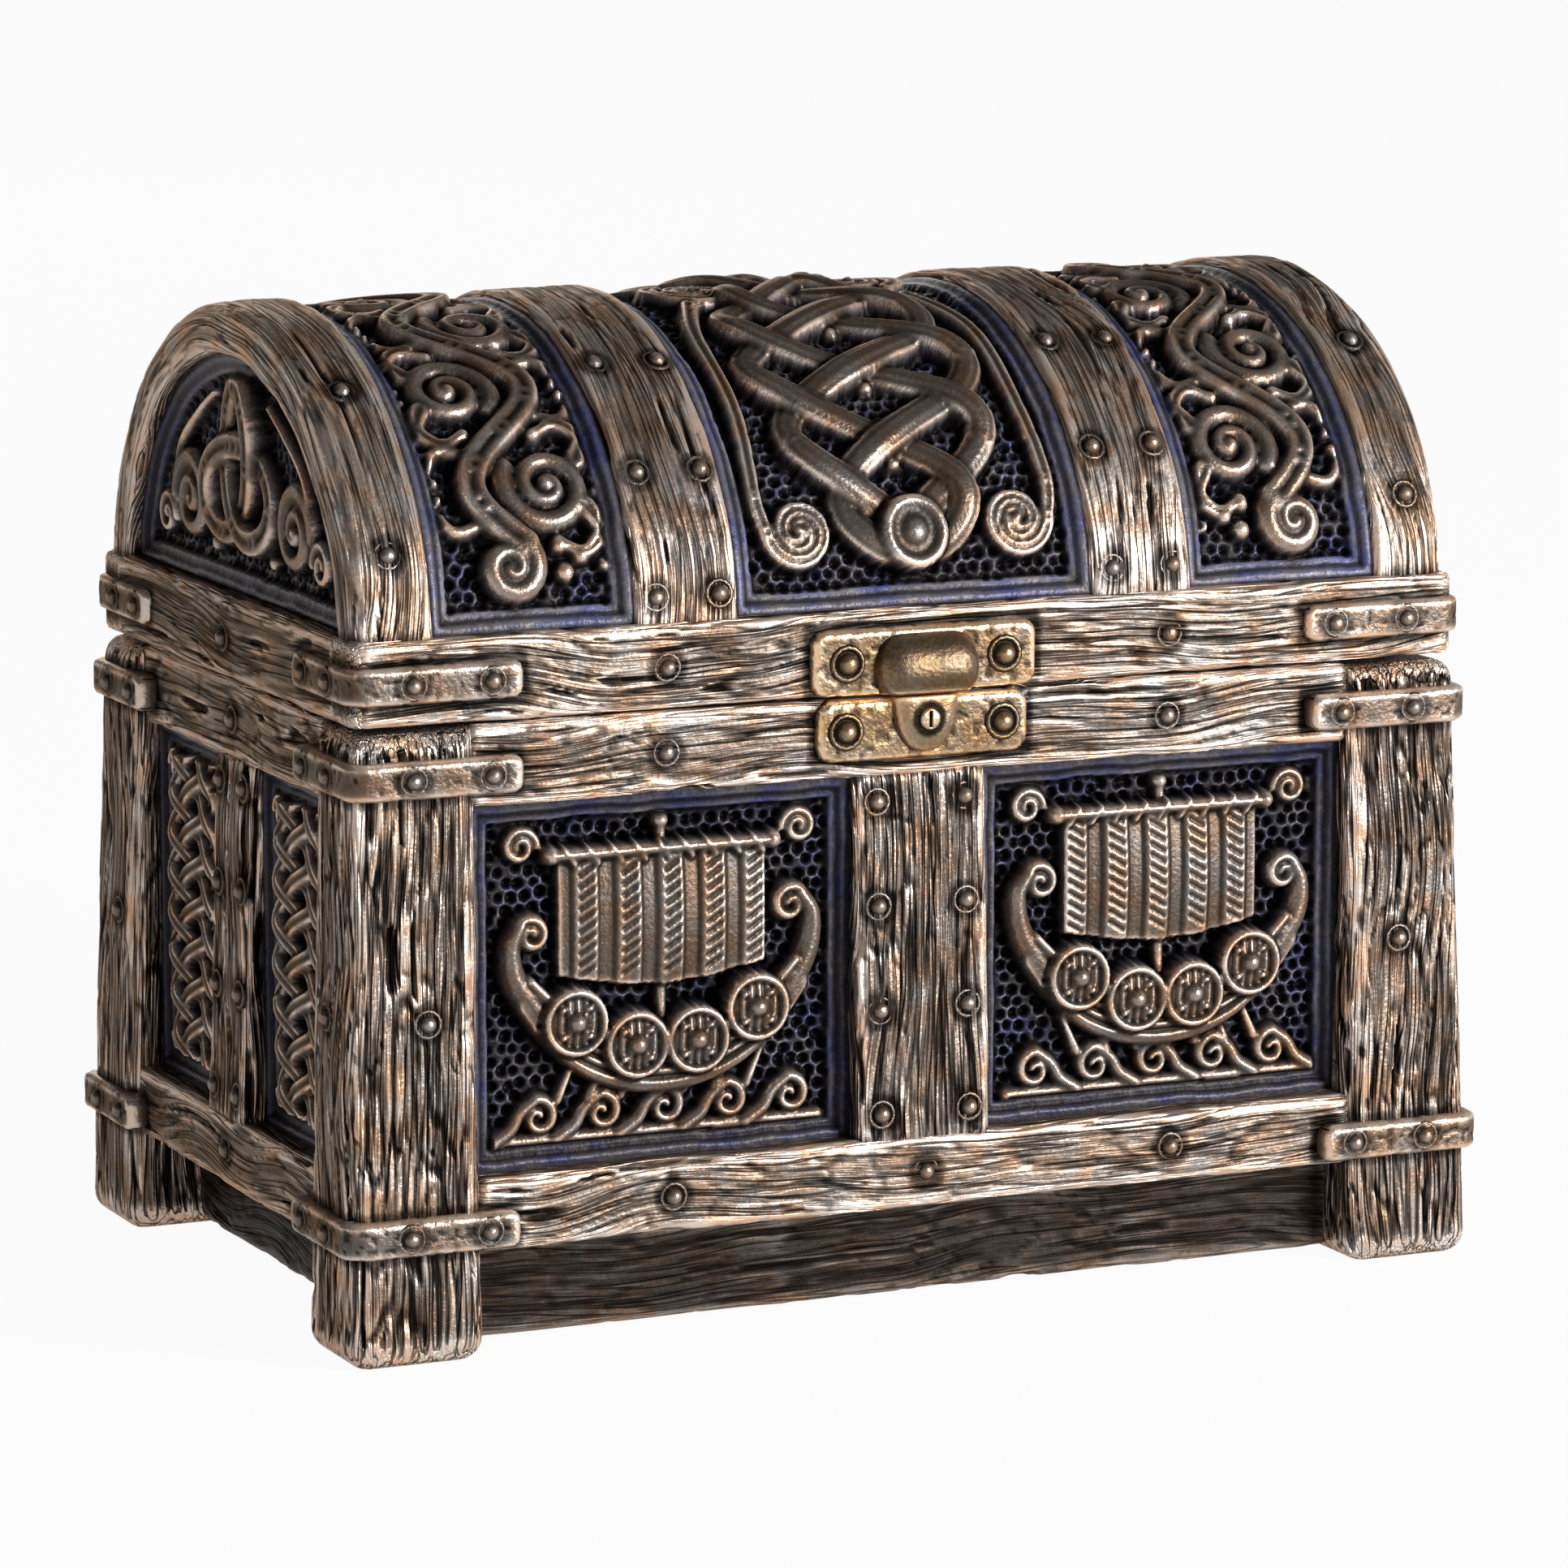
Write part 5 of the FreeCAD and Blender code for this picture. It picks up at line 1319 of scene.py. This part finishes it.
# %% Scrolling vine
def scrolling_vine(field, seed, phase):
    punch_pits(field, seed)
    reach = field["v"][-1] - 4.5
    period = 25.0
    v = np.linspace(4.0 - reach, reach - 4.0, 280)
    stem = np.stack([4.6 * np.sin(2 * math.pi * v / period + phase), v], axis=1)
    strand(field, stem, 1.75, 1.75, 0.3, twin_bar)
    middles = []
    for k in range(-6, 7):
        angle = math.pi * (k + 0.5)
        middle_v = (angle - phase) * period / (2 * math.pi)
        side = -1 if math.sin(angle) > 0 else 1
        if abs(middle_v) > reach:
            continue
        for turn in (-1, 1):
            knots = ((-3.2, 3.4), (-7.0, 4.6), (-9.0, 2.2), (-8.4, 0.9))
            tendril = easy_line([(u * side, middle_v + rise * turn) for u, rise in knots], 24)
            if abs(middle_v + 4.6 * turn) < reach:
                strand(field, tendril, np.linspace(1.0, 0.6, 24), 1.3)
        if abs(middle_v) > reach - 4.0:
            continue
        centre = (3.5 * side, middle_v)
        middles.append(centre)
        start = 60 + 90 * side
        scroll = spiral(centre, 4.7, 0.5, start, start + 660)
        strand(field, scroll, np.linspace(1.3, 0.8, 70), 1.5, 0.0, ribbon_bar)
        disc(field, centre, 1.15, 1.75)
        for turn in (-1, 1):
            knots = ((7.4, 2.6), (8.5, 5.2), (6.4, 7.2), (3.6, 6.0))
            leaf = easy_line([(u * side, middle_v + rise * turn) for u, rise in knots], 20)
            strand(field, leaf, np.linspace(1.3, 0.6, 20), 1.4, 0.0, twin_bar)
            pellets = ((3.8, 6.1, 1.0, 1.4), (8.6, 8.6, 0.9, 1.2), (9.0, 0.9, 0.75, 1.1))
            for u, rise, radius, crown in pellets:
                disc(field, (u * side, middle_v + rise * turn), radius, crown)
    for tip, before in ((stem[0], stem[1]), (stem[-1], stem[-2])):
        ahead = (tip - before) / np.linalg.norm(tip - before)
        rooms = []
        for turn in (-1, 1):
            beside = turn * np.array((-ahead[1], ahead[0]))
            centre = tip + 3.0 * beside
            rooms.append((min(math.dist(centre, middle) for middle in middles), turn, centre, beside))
        _, turn, centre, beside = max(rooms, key=lambda found: found[0])
        start = math.degrees(math.atan2(tip[1] - centre[1], tip[0] - centre[0]))
        curl = spiral(centre, 3.0, 0.5, start, start + 560 * turn)
        strand(field, curl, np.linspace(1.6, 0.8, 70), 1.8, 0.3)
        disc(field, centre, 1.1, 1.9)
        for off, on, size in ((0.4, 5.0, 1.2), (2.8, 5.4, 1.1), (2.2, 3.0, 1.0)):
            disc(field, tip - off * beside + on * ahead, size, 1.5)
    stepped_border(field, edge_distance(field))

print("the vine is ready")

# %% [markdown]
# ## Panels over the arch
# The three sheets are closed into thin boards while they are flat, because then the back is flat too, and
# are laid over an arch a little lower than that of the hoops by the same table of arc lengths.

# %% Panels over the arch
PANEL_RISE = 30.4 * MM
PANEL_HALF = 35.8 * MM
LID_STEP = 0.25
# the lid's border is lifted most: worn paint, and painted light for the shade that the hoops cast on it
LID_BORDER_WEAR_AND_LIGHT = 0.14


def close_flat(sheet, depth):
    half = np.abs(points_of(sheet)[:, 0]).max()
    pick_edges(sheet, lambda a, b: min(abs(a[0]), abs(b[0])) > half - 1e-6 and a[0] * b[0] > 0)
    sink_rim(sheet, depth)
    bpy.ops.mesh.bridge_edge_loops()
    bpy.ops.mesh.select_all(action="SELECT")
    bpy.ops.mesh.fill_holes(sides=0)
    face_outwards(sheet)


def lid_panel(name, draw):
    low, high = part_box(name)
    reach = arch_reach(PANEL_HALF, PANEL_RISE, RIM_TOP)
    field = relief_field((high.x - low.x) / MM, 2 * reach / MM, LID_STEP)
    draw(field)
    sheet = carved_sheet(name + ".dressed", field, LID_BORDER_WEAR_AND_LIGHT)
    close_flat(sheet, PANEL_THICK)
    places = points_of(sheet)
    places[:, 0] += (low.x + high.x) / 2
    places[:, 2] -= GROUND_SET_BACK
    set_points(sheet, places)
    lay_over_arch(sheet, PANEL_HALF, PANEL_RISE)
    finish_piece(sheet, name, "lid", panel_bronze)
    return sheet


for name, draw in (("lid_panel_left", lambda field: scrolling_vine(field, 21, 1.1)),
                   ("lid_panel_middle", lambda field: swelling_plait(field, 22)),
                   ("lid_panel_right", lambda field: scrolling_vine(field, 23, 4.24))):
    made = lid_panel(name, draw)
    print(name, len(made.data.polygons), "faces")

# %% [markdown]
# ## Arched end panels of the lid
# Inside each end hoop lies a half-round panel with a knot of one endless strand, and a scroll on each side.
# The grid is drawn as a rectangle, and the faces outside the arch are deleted before the board is closed;
# its edge lies hidden in the hoop.

# %% Arched end panels
ARCH_BORDER_WEAR_AND_LIGHT = 0.06
ARCH_MARGIN = 0.6 * MM


def knot_end(field, seed, half, rise, base):
    u, v = np.meshgrid(field["u"], field["v"], indexing="ij")
    up = v - field["v"][0]
    punch_pits(field, seed)
    t = np.linspace(0, 2 * math.pi, 200)
    knot = np.stack([3.3 * (np.sin(t) + 2 * np.sin(2 * t)), 3.1 * (np.cos(t) - 2 * np.cos(2 * t))], axis=1)
    foot = field["v"][0]
    knot = knot * [1.0, -1.0] + (0.0, foot + 12.3)
    strand(field, knot, 1.7, 1.5, 0.55 - 0.55 * np.sin(3 * t), twin_bar)
    for side in (-1, 1):
        start = 90 - 90 * side
        scroll = spiral((15.6 * side, foot + 8.2), 4.8, 0.5, start, start + 680 * side)
        strand(field, scroll, np.linspace(1.35, 0.8, 70), 1.5, 0.0, ribbon_bar)
        start = 90 + 90 * side
        curl = spiral((23.0 * side, foot + 5.6), 2.5, 0.4, start, start - 560 * side)
        strand(field, curl, np.linspace(0.9, 0.55, 70), 1.4)
        knots = ((20.4, 8.0), (18.6, 13.6), (13.0, 17.6), (8.0, 20.2))
        stalk = easy_line([(off * side, foot + lift) for off, lift in knots], 40)
        strand(field, stalk, np.linspace(1.0, 0.5, 40), 1.4)
        disc(field, (15.6 * side, foot + 8.2), 1.0, 1.7)
        disc(field, (8.6 * side, foot + 4.2), 1.1, 1.2)
    to_arch = (1.0 - np.hypot(u / half, (up + base) / rise)) * rise
    stepped_border(field, np.minimum(to_arch, up))


def arched_end(name, wall, seed):
    low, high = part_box(name)
    inner_half, inner_rise = HOOP_HALF - HOOP_THICK, HOOP_RISE - HOOP_THICK
    half, rise = inner_half + ARCH_MARGIN, inner_rise + ARCH_MARGIN
    tall = SPRING + rise - RIM_TOP
    field = relief_field(2 * half / MM, tall / MM, LID_STEP)
    knot_end(field, seed, inner_half / MM, inner_rise / MM, (RIM_TOP - SPRING) / MM)
    sheet = carved_sheet(name + ".dressed", field, ARCH_BORDER_WEAR_AND_LIGHT)
    drop_faces(sheet, lambda centre, normal: (centre.x / half) ** 2
               + ((centre.y + tall / 2 + RIM_TOP - SPRING) / rise) ** 2 > 1.0)
    back_up(sheet, PANEL_THICK - GROUND_SET_BACK)
    stand_up(sheet, wall, low.x if wall == "left" else high.x, (0.0, 0.0, RIM_TOP + tall / 2))
    finish_piece(sheet, name, "lid", panel_bronze)
    return sheet


for wall, seed in (("left", 31), ("right", 32)):
    made = arched_end("lid_end_panel_" + wall, wall, seed)
    print("arched end", wall, len(made.data.polygons), "faces")

# %% [markdown]
# ## Hammered plates
# Straps, latch and lock are cut from sheet metal and hammered. A plate is a block that is cut fine; its
# corners are pulled in to a radius and its edges are sunk, which a bevel on so fine a grid can't do cleanly.
# Hammer marks are broad dents and small pocks, both from noise.

# %% Hammered plates
def hammer(piece, seed, depth, scale):
    places = points_of(piece)
    normals = normals_of(piece)
    blows = smooth_noise(places / scale + seed * 7.3)
    pocks = smooth_noise(places / (0.42 * scale) + seed * 3.1)
    cut = depth * (0.45 * smooth_step(0.55, 0.25, blows) + smooth_step(0.36, 0.26, pocks))
    set_points(piece, places - normals * cut[:, None])


def rounded_plate(name, low, high, corner, edge, front, step):
    plate = block(name, low, high)
    for k in (0, 2):
        cut_along(plate, k, step)
    places = points_of(plate)
    low, high = np.array(low), np.array(high)
    middle, half = (low + high)[[0, 2]] / 2, (high - low)[[0, 2]] / 2
    flat = places[:, [0, 2]] - middle
    beyond = np.maximum(np.abs(flat) - (half - corner), 0.0)
    far = np.linalg.norm(beyond, axis=1)
    beyond *= np.minimum(1.0, corner / np.maximum(far, 1e-9))[:, None]
    flat = np.sign(flat) * (np.minimum(np.abs(flat), half - corner) + beyond)
    places[:, [0, 2]] = middle + flat
    inside = np.where(far > 0, corner - np.linalg.norm(beyond, axis=1), np.min(half - np.abs(flat), axis=1))
    sunk = edge * (1.0 - np.sqrt(1.0 - (1.0 - np.clip(inside / edge, 0.0, 1.0)) ** 2))
    face = low[1] if front < 0 else high[1]
    on_face = np.abs(places[:, 1] - face) < 1e-6
    places[on_face, 1] -= front * sunk[on_face]
    set_points(plate, places)
    return plate

print("plates are ready")

# %% [markdown]
# ## Corner straps
# Hammered bands grip the corners at three levels. Each starts as a flat bar with rounded tips, gets its
# hammer marks while it is straight, and is then folded round the corner with a small radius. Four folded
# bars make the set of one level.

# %% Corner straps
STRAP_RADIUS = 2.5 * MM
STRAP_DEEP = 2.3 * MM
STRAP_LEGS = (19.0 * MM, 16.5 * MM)
QUARTER = STRAP_RADIUS * math.pi / 4
CORNERS = ((-1, -1), (1, -1), (-1, 1), (1, 1))
LEVELS = (("upper_corner_straps", "base", 5), ("lower_corner_straps", "base", 9),
          ("lid_corner_straps", "lid", 13))


def fold_round_corner(piece, outer, signs):
    bar = points_of(piece)
    s, n = bar[:, 0], bar[:, 1]
    middle = np.array(outer) - STRAP_RADIUS
    turn = np.clip(s, -QUARTER, QUARTER) / STRAP_RADIUS + math.pi / 4
    far = np.maximum(STRAP_RADIUS + n, 0.05 * MM)
    x = middle[0] + far * np.sin(turn) - np.clip(-QUARTER - s, 0, None)
    y = middle[1] + far * np.cos(turn) - np.clip(s - QUARTER, 0, None)
    set_points(piece, np.stack([signs[0] * x, signs[1] * y, bar[:, 2]], axis=1))
    face_outwards(piece)


def corner_straps(node, body, seed):
    low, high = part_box(node)
    start = (-(STRAP_LEGS[0] - STRAP_RADIUS) - QUARTER, -STRAP_DEEP, low.z)
    end = (STRAP_LEGS[1] - STRAP_RADIUS + QUARTER, 0.0, high.z)
    bars = []
    for number, signs in enumerate(CORNERS):
        bar = rounded_plate(node + ".dressed" if number == 0 else "strap_bar", start, end,
                            1.2 * MM, 0.7 * MM, 1, 0.27 * MM)
        hammer(bar, seed + number, 0.09 * MM, 1.5 * MM)
        rub(bar, fine=2, broad=9, fine_gain=5.0, broad_gain=2.8, middle=0.545)
        fold_round_corner(bar, (high.x, high.y), signs)
        bars.append(bar)
    join(bars)
    finish_piece(bars[0], node, body, strap_bronze)
    print(node, len(bars[0].data.polygons), "faces")


for node, body, seed in LEVELS:
    corner_straps(node, body, seed)

# %% [markdown]
# ## One nail
# Every nail sits in a pressed ring: a domed head, a dark groove and a raised lip. Spinning an outline would
# make it, and so does a ball whose rings are moved to that outline, which leaves no seam. Each ring of the
# outline has a radius, a height and its wear.

# %% One nail
NAIL_OUTLINE = ((0.0, 0.70, 0.72), (0.46, 0.60, 0.66), (0.80, 0.26, 0.50),
                (0.93, -0.16, 0.02), (1.16, -0.10, 0.06), (1.36, 0.06, 0.55),
                (1.62, -0.1, 0.30), (1.6, -0.7, 0.2), (0.0, -0.9, 0.2))


def model_nail():
    clear_selection()
    bpy.ops.mesh.primitive_uv_sphere_add(segments=14, ring_count=len(NAIL_OUTLINE) - 1, radius=1.0)
    nail = bpy.context.object
    nail.name = "nail_pattern"
    places = points_of(nail)
    outline = np.array(NAIL_OUTLINE)
    fall = np.arccos(np.clip(places[:, 2], -1, 1)) / math.pi
    level = np.rint(fall * (len(outline) - 1)).astype(int)
    turn = np.arctan2(places[:, 1], places[:, 0])
    radius, height = outline[level, 0], outline[level, 1]
    set_points(nail, np.stack([radius * np.cos(turn), radius * np.sin(turn), height], axis=1) * MM)
    store(nail, "wear", outline[level, 2])
    return nail

nail_pattern = model_nail()
print("nail of", len(nail_pattern.data.polygons), "faces")

# %% [markdown]
# ## Driving the nails
# The nail is copied to each seat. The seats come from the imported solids: each loose part of a nail node has a
# long axis, and its wide end is the head. A twist from copy to copy keeps the facets from lining up.

# %% Driving the nails
NAIL_HEIGHT = 0.62 * MM
RIVET_SIZE = 1.25
RIVET_HEIGHT = 0.7 * MM
TWIST = 1.7


def seats_of(node):
    mesh = frame["nodes"][node].data
    places = vectors_of(mesh.vertices, "co")
    _, same = np.unique(np.rint(places * 1e6).astype(np.int64), axis=0, return_inverse=True)
    same = same.ravel()
    label = np.arange(same.max() + 1)
    ends = same[np.array([edge.vertices[:] for edge in mesh.edges])]
    while True:
        lower = np.minimum(label[ends[:, 0]], label[ends[:, 1]])
        fresh = label.copy()
        np.minimum.at(fresh, ends[:, 0], lower)
        np.minimum.at(fresh, ends[:, 1], lower)
        if (fresh == label).all():
            break
        label = fresh
    found = []
    for island in np.unique(label):
        cloud = places[label[same] == island]
        middle = (cloud.max(0) + cloud.min(0)) / 2
        axis = np.linalg.svd(cloud - cloud.mean(0), full_matrices=False)[2][0]
        along = (cloud - middle) @ axis
        spread = np.linalg.norm(cloud - middle - np.outer(along, axis), axis=1)
        if along[np.argmax(spread)] < 0:
            axis, along = -axis, -along
        found.append((middle + axis * along.max(), axis))
    return found


def drive_nails(node, body, material, size, head_height):
    copies = []
    for number, (top, axis) in enumerate(seats_of(node)):
        nail = nail_pattern.copy()
        nail.data = nail_pattern.data.copy()
        nail.name = node + ".dressed" if number == 0 else "nail_copy"
        bpy.context.collection.objects.link(nail)
        facing = np.array(Vector(axis).to_track_quat("Z", "Y").to_matrix())
        cosine, sine = math.cos(TWIST * number), math.sin(TWIST * number)
        spin = np.array([[cosine, -sine, 0], [sine, cosine, 0], [0, 0, 1]])
        set_points(nail, (points_of(nail) * size) @ (facing @ spin).T + top - axis * head_height)
        copies.append(nail)
    join(copies)
    finish_piece(copies[0], node, body, material)
    print(node, len(copies), "heads")


for node, body in (("base_nails", "base"), ("lid_nails", "lid")):
    drive_nails(node, body, strap_bronze, 1.0, NAIL_HEIGHT)
for node, body in (("latch_rivets", "lid"), ("lock_rivets", "base")):
    drive_nails(node, body, latch_brass, RIVET_SIZE, RIVET_HEIGHT)
bpy.data.objects.remove(nail_pattern)

# %% [markdown]
# ## Latch
# The latch is more golden than the rest. Its plate on the lid has a hood like a half barrel. The plate is a
# hammered one, and the hood is a block whose front is cut fine and bulged by a profile.

# %% Latch
PLATE_THICK = 0.9 * MM
PLATE_STEP = 0.25 * MM
PLATE_EDGE = 0.8 * MM
HOOD_HALF = 5.9 * MM
HOOD_TALL = 6.4 * MM


def rub_brass(piece, broad_gain, middle):
    return rub(piece, fine=2, broad=9, fine_gain=6.0, broad_gain=broad_gain, middle=middle)


def brass_plate(name, low, high, corner, seed):
    plate = rounded_plate(name, low, high, corner, PLATE_EDGE, -1, PLATE_STEP)
    hammer(plate, seed, 0.08 * MM, 2.2 * MM)
    rub_brass(plate, 3.6, 0.46)
    return plate


def bulged(name, low, high, profile, seed):
    piece = block(name, low, high)
    for k in (0, 2):
        cut_along(piece, k, 0.22 * MM)
    places = points_of(piece)
    across = np.abs(2.0 * (places[:, 0] - low[0]) / (high[0] - low[0]) - 1.0)
    up = (places[:, 2] - low[2]) / (high[2] - low[2])
    bulge = np.clip(profile(across, up), 0.0001, 1.0) ** 0.5
    places[:, 1] = high[1] - (high[1] - places[:, 1]) * bulge
    set_points(piece, places)
    hammer(piece, seed, 0.03 * MM, 2.6 * MM)
    return piece


plate_low, plate_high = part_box("latch_plate")
seat = plate_high.y
latch = brass_plate("latch_plate.dressed", (plate_low.x, seat - PLATE_THICK, plate_low.z),
                    (plate_high.x, seat + 0.5 * MM, plate_high.z), 1.7 * MM, 3)
hood = bulged("hood", (-HOOD_HALF, plate_low.y, plate_low.z + 0.15 * MM),
              (HOOD_HALF, seat - 0.3 * MM, plate_low.z + HOOD_TALL),
              lambda across, up: 1.0 - across ** 5 - (np.maximum(up - 0.36, 0.0) / 0.64) ** 2
              - 0.5 * (np.maximum(0.36 - up, 0.0) / 0.36) ** 2, 5)
rub_brass(hood, 2.4, 0.44)
join([latch, hood])
finish_piece(latch, "latch_plate", "lid", latch_brass)
print("latch of", len(latch.data.polygons), "faces")

# %% [markdown]
# ## Lock plate and boss
# Below the seam a lock plate carries a boss that is round below and flat above. Patina lies on the boss round
# the plug, so wear is lowered there.

# %% Lock plate and boss
lock_low, lock_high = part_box("lock_plate")
lock = brass_plate("lock_plate.dressed", (lock_low.x, lock_low.y, lock_low.z),
                   (lock_high.x, lock_high.y + 0.5 * MM, lock_high.z), 1.9 * MM, 7)
finish_piece(lock, "lock_plate", "base", latch_brass)

plug_low, plug_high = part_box("lock_plug")
plug_middle = (plug_low + plug_high) / 2
boss_low, boss_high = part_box("lock_tongue")
boss = bulged("lock_tongue.dressed", boss_low, (boss_high.x, boss_high.y + 0.3 * MM, boss_high.z),
              lambda across, up: 1.0 - (across ** 2.2 + (1.0 - up) ** 2.2) ** 2.7, 9)
wear = rub_brass(boss, 2.0, 0.56)
away = np.hypot(points_of(boss)[:, 0] - plug_middle.x, points_of(boss)[:, 2] - plug_middle.z)
store(boss, "wear", wear - 0.5 * smooth_step(2.1 * MM, 1.6 * MM, away))
finish_piece(boss, "lock_tongue", "base", latch_brass)
print("lock plate and boss of", len(lock.data.polygons) + len(boss.data.polygons), "faces")

# %% [markdown]
# ## Slotted plug
# A small round plug with a slot sits in the boss. It is a cylinder with its front edge rounded, and a bar
# cuts the slot with a Boolean modifier, which is quicker than modelling the slot's ends by hand.

# %% Slotted plug
plug_radius = (plug_high.x - plug_low.x) / 2
clear_selection()
bpy.ops.mesh.primitive_cylinder_add(vertices=36, radius=plug_radius, depth=plug_high.y - plug_low.y,
                                    location=plug_middle, rotation=(math.pi / 2, 0, 0))
plug = bpy.context.object
plug.name = "lock_plug.dressed"
bpy.ops.object.transform_apply(location=True, rotation=True, scale=True)
round_edges(plug, 0.3 * MM, 3, lambda a, b: max(a[1], b[1]) < plug_low.y + 0.05 * MM)
slot_bar = block("slot_bar", plug_middle - Vector((0.2 * MM, 5 * MM, 0.85 * MM)),
                 plug_middle + Vector((0.2 * MM, 0, 0.85 * MM)))
places = points_of(slot_bar)
places[:, 1] = np.where(places[:, 1] > plug_low.y, plug_low.y + 0.5 * MM, places[:, 1])
set_points(slot_bar, places)
use(plug)
cutter = plug.modifiers.new("slot", "BOOLEAN")
cutter.object = slot_bar
cutter.operation = "DIFFERENCE"
bpy.ops.object.modifier_apply(modifier="slot")
bpy.data.objects.remove(slot_bar)
store(plug, "wear", np.where(points_of(plug)[:, 1] < plug_low.y + 0.32 * MM, 0.72, 0.15))
finish_piece(plug, "lock_plug", "base", latch_brass)
print("plug of", len(plug.data.polygons), "faces")

# %% [markdown]
# ## Patina and painted shade in the corners
# A polishing cloth never gets into the corner beside a strap, a plate, a nail head or a joint, so the real
# chest keeps a dark line there, and the same darkening also serves as painted shade for those corners. The gap
# from each point of a timber to its neighbours is known by now, and wear drops where the gap is small. Boxes
# stand in for the straps and plates, and points for the nails.

# %% Patina and painted shade in the corners
IRON_REACH = 1.1 * MM
JOINT_REACH = 0.9 * MM
NAIL_REACH = (2.5 * MM, 1.7 * MM)
# how far wear drops beside parts: dark patina, and painted shade in those corners
TIMBER_PATINA_AND_SHADE = 0.42
STRAP_PATINA_AND_SHADE = 0.22


def gap_to_box(places, low, high):
    beyond = np.maximum(np.array(low) - places, places - np.array(high))
    return np.linalg.norm(np.maximum(beyond, 0.0), axis=1)


def strap_boxes(node):
    low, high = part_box(node)
    for leg in ((STRAP_LEGS[0], STRAP_DEEP), (STRAP_DEEP, STRAP_LEGS[1])):
        for signs in CORNERS:
            corners = np.array([(signs[0] * (high.x - inset * leg[0]), signs[1] * (high.y - inset * leg[1]))
                                for inset in (0, 1)])
            yield (*corners.min(axis=0), low.z), (*corners.max(axis=0), high.z)


# lowers wear near other parts: dark patina and painted shade in the corners
def darken(name, iron, joints, nails, amount=TIMBER_PATINA_AND_SHADE):
    piece = bpy.data.objects[name + ".dressed"]
    places = points_of(piece)
    wear = np.empty(len(places), np.float32)
    piece.data.attributes["wear"].data.foreach_get("value", wear)
    shade = np.zeros(len(places))
    for boxes, reach, share in ((iron, IRON_REACH, 1.0), (joints, JOINT_REACH, 0.7)):
        for low, high in boxes:
            gap = gap_to_box(places, low, high)
            shade = np.maximum(shade, share * smooth_step(reach, 0.2 * reach, gap))
    for top in nails:
        shade = np.maximum(shade, 0.9 * smooth_step(*NAIL_REACH, np.linalg.norm(places - top, axis=1)))
    store(piece, "wear", np.clip(wear - amount * shade, 0.0, 1.0))


iron = [box for node, _, _ in LEVELS for box in strap_boxes(node)]
iron += [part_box("latch_plate"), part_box("lock_plate")]
nails = [top - NAIL_HEIGHT * axis for node in ("base_nails", "lid_nails") for top, axis in seats_of(node)]
post_names = ["post_%s_%s" % (face, side) for face in WALLS[:2] for side in WALLS[2:]]
post_boxes = [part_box(name) for name in post_names]
rim_boxes = [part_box("rim_rail_" + wall) for wall in WALLS]
for wall in WALLS:
    rails = ["top_rail_" + wall, "bottom_rail_" + wall]
    darken("stile_" + wall, iron, [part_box(rail) for rail in rails], nails)
    for rail in rails:
        darken(rail, iron, post_boxes, nails)
    darken("rim_rail_" + wall, iron, [], nails)
for name in HOOPS:
    darken(name, iron, rim_boxes, nails)
for name in post_names:
    darken(name, iron, [], nails)
for node, _, _ in LEVELS:
    darken(node, [], [], nails, STRAP_PATINA_AND_SHADE)
print("patina beside", len(iron), "boxes and", len(nails), "nails")

# %% [markdown]
# ## Hinges and lining
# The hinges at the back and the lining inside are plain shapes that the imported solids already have, so they
# stay and only get better finishes: aged brass with dark spots for the hinges, steel for the pins, and a dark
# painted coat with a fine tooth for the lining.

# %% Hinges and lining
def coat(name, dark, pale, scale, rough, metal, bump_depth):
    finish, nodes, links, shader = new_finish(name)
    place = nodes.new("ShaderNodeTexCoord").outputs["Object"]
    clouds = noise_of(nodes, links, place, scale, 6.0, 0.65)
    tooth = noise_of(nodes, links, place, scale * 9.0, 3.0)
    links.new(ramp_of(nodes, links, clouds, [(0.3, dark), (0.7, pale)]), shader.inputs["Base Color"])
    gloss = range_of(nodes, links, clouds, (0.0, 1.0), rough)
    links.new(gloss.outputs["Result"], shader.inputs["Roughness"])
    bump_of(nodes, links, shader, tooth, 0.3, bump_depth)
    shader.inputs["Metallic"].default_value = metal
    return finish


hinge_brass = coat("hinge_brass", (0.05, 0.03, 0.012), (0.42, 0.27, 0.11), 420.0, (0.55, 0.3), 0.6, 0.0002)
pin_steel = coat("pin_steel", (0.08, 0.075, 0.07), (0.35, 0.34, 0.33), 600.0, (0.5, 0.25), 0.9, 0.0001)
lining_coat = coat("lining_coat", (0.022, 0.017, 0.015), (0.065, 0.048, 0.040), 160.0, (0.85, 0.65),
                   0.0, 0.0003)
KEPT = {"inner_box": lining_coat, "floor_board": lining_coat, "lid_vault": lining_coat,
        "hinge_base_leaves": hinge_brass, "hinge_lid_leaves": hinge_brass,
        "hinge_base_screws": hinge_brass, "hinge_lid_screws": hinge_brass, "hinge_pins": pin_steel}
for node, finish in KEPT.items():
    kept = frame["nodes"][node]
    for place in kept.material_slots:
        place.material = finish
print("kept nodes:", sorted(KEPT))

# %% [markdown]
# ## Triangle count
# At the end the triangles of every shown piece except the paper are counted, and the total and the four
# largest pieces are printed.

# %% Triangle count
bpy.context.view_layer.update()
shown = [piece for piece in bpy.data.objects if piece.type == "MESH" and piece not in (floor, wall_of_paper)
         and not piece.hide_render]
counts = {piece.name: sum(len(face.vertices) - 2 for face in piece.data.polygons) for piece in shown}
print("triangles:", sum(counts.values()), "most:", sorted(counts.items(), key=lambda item: -item[1])[:4])
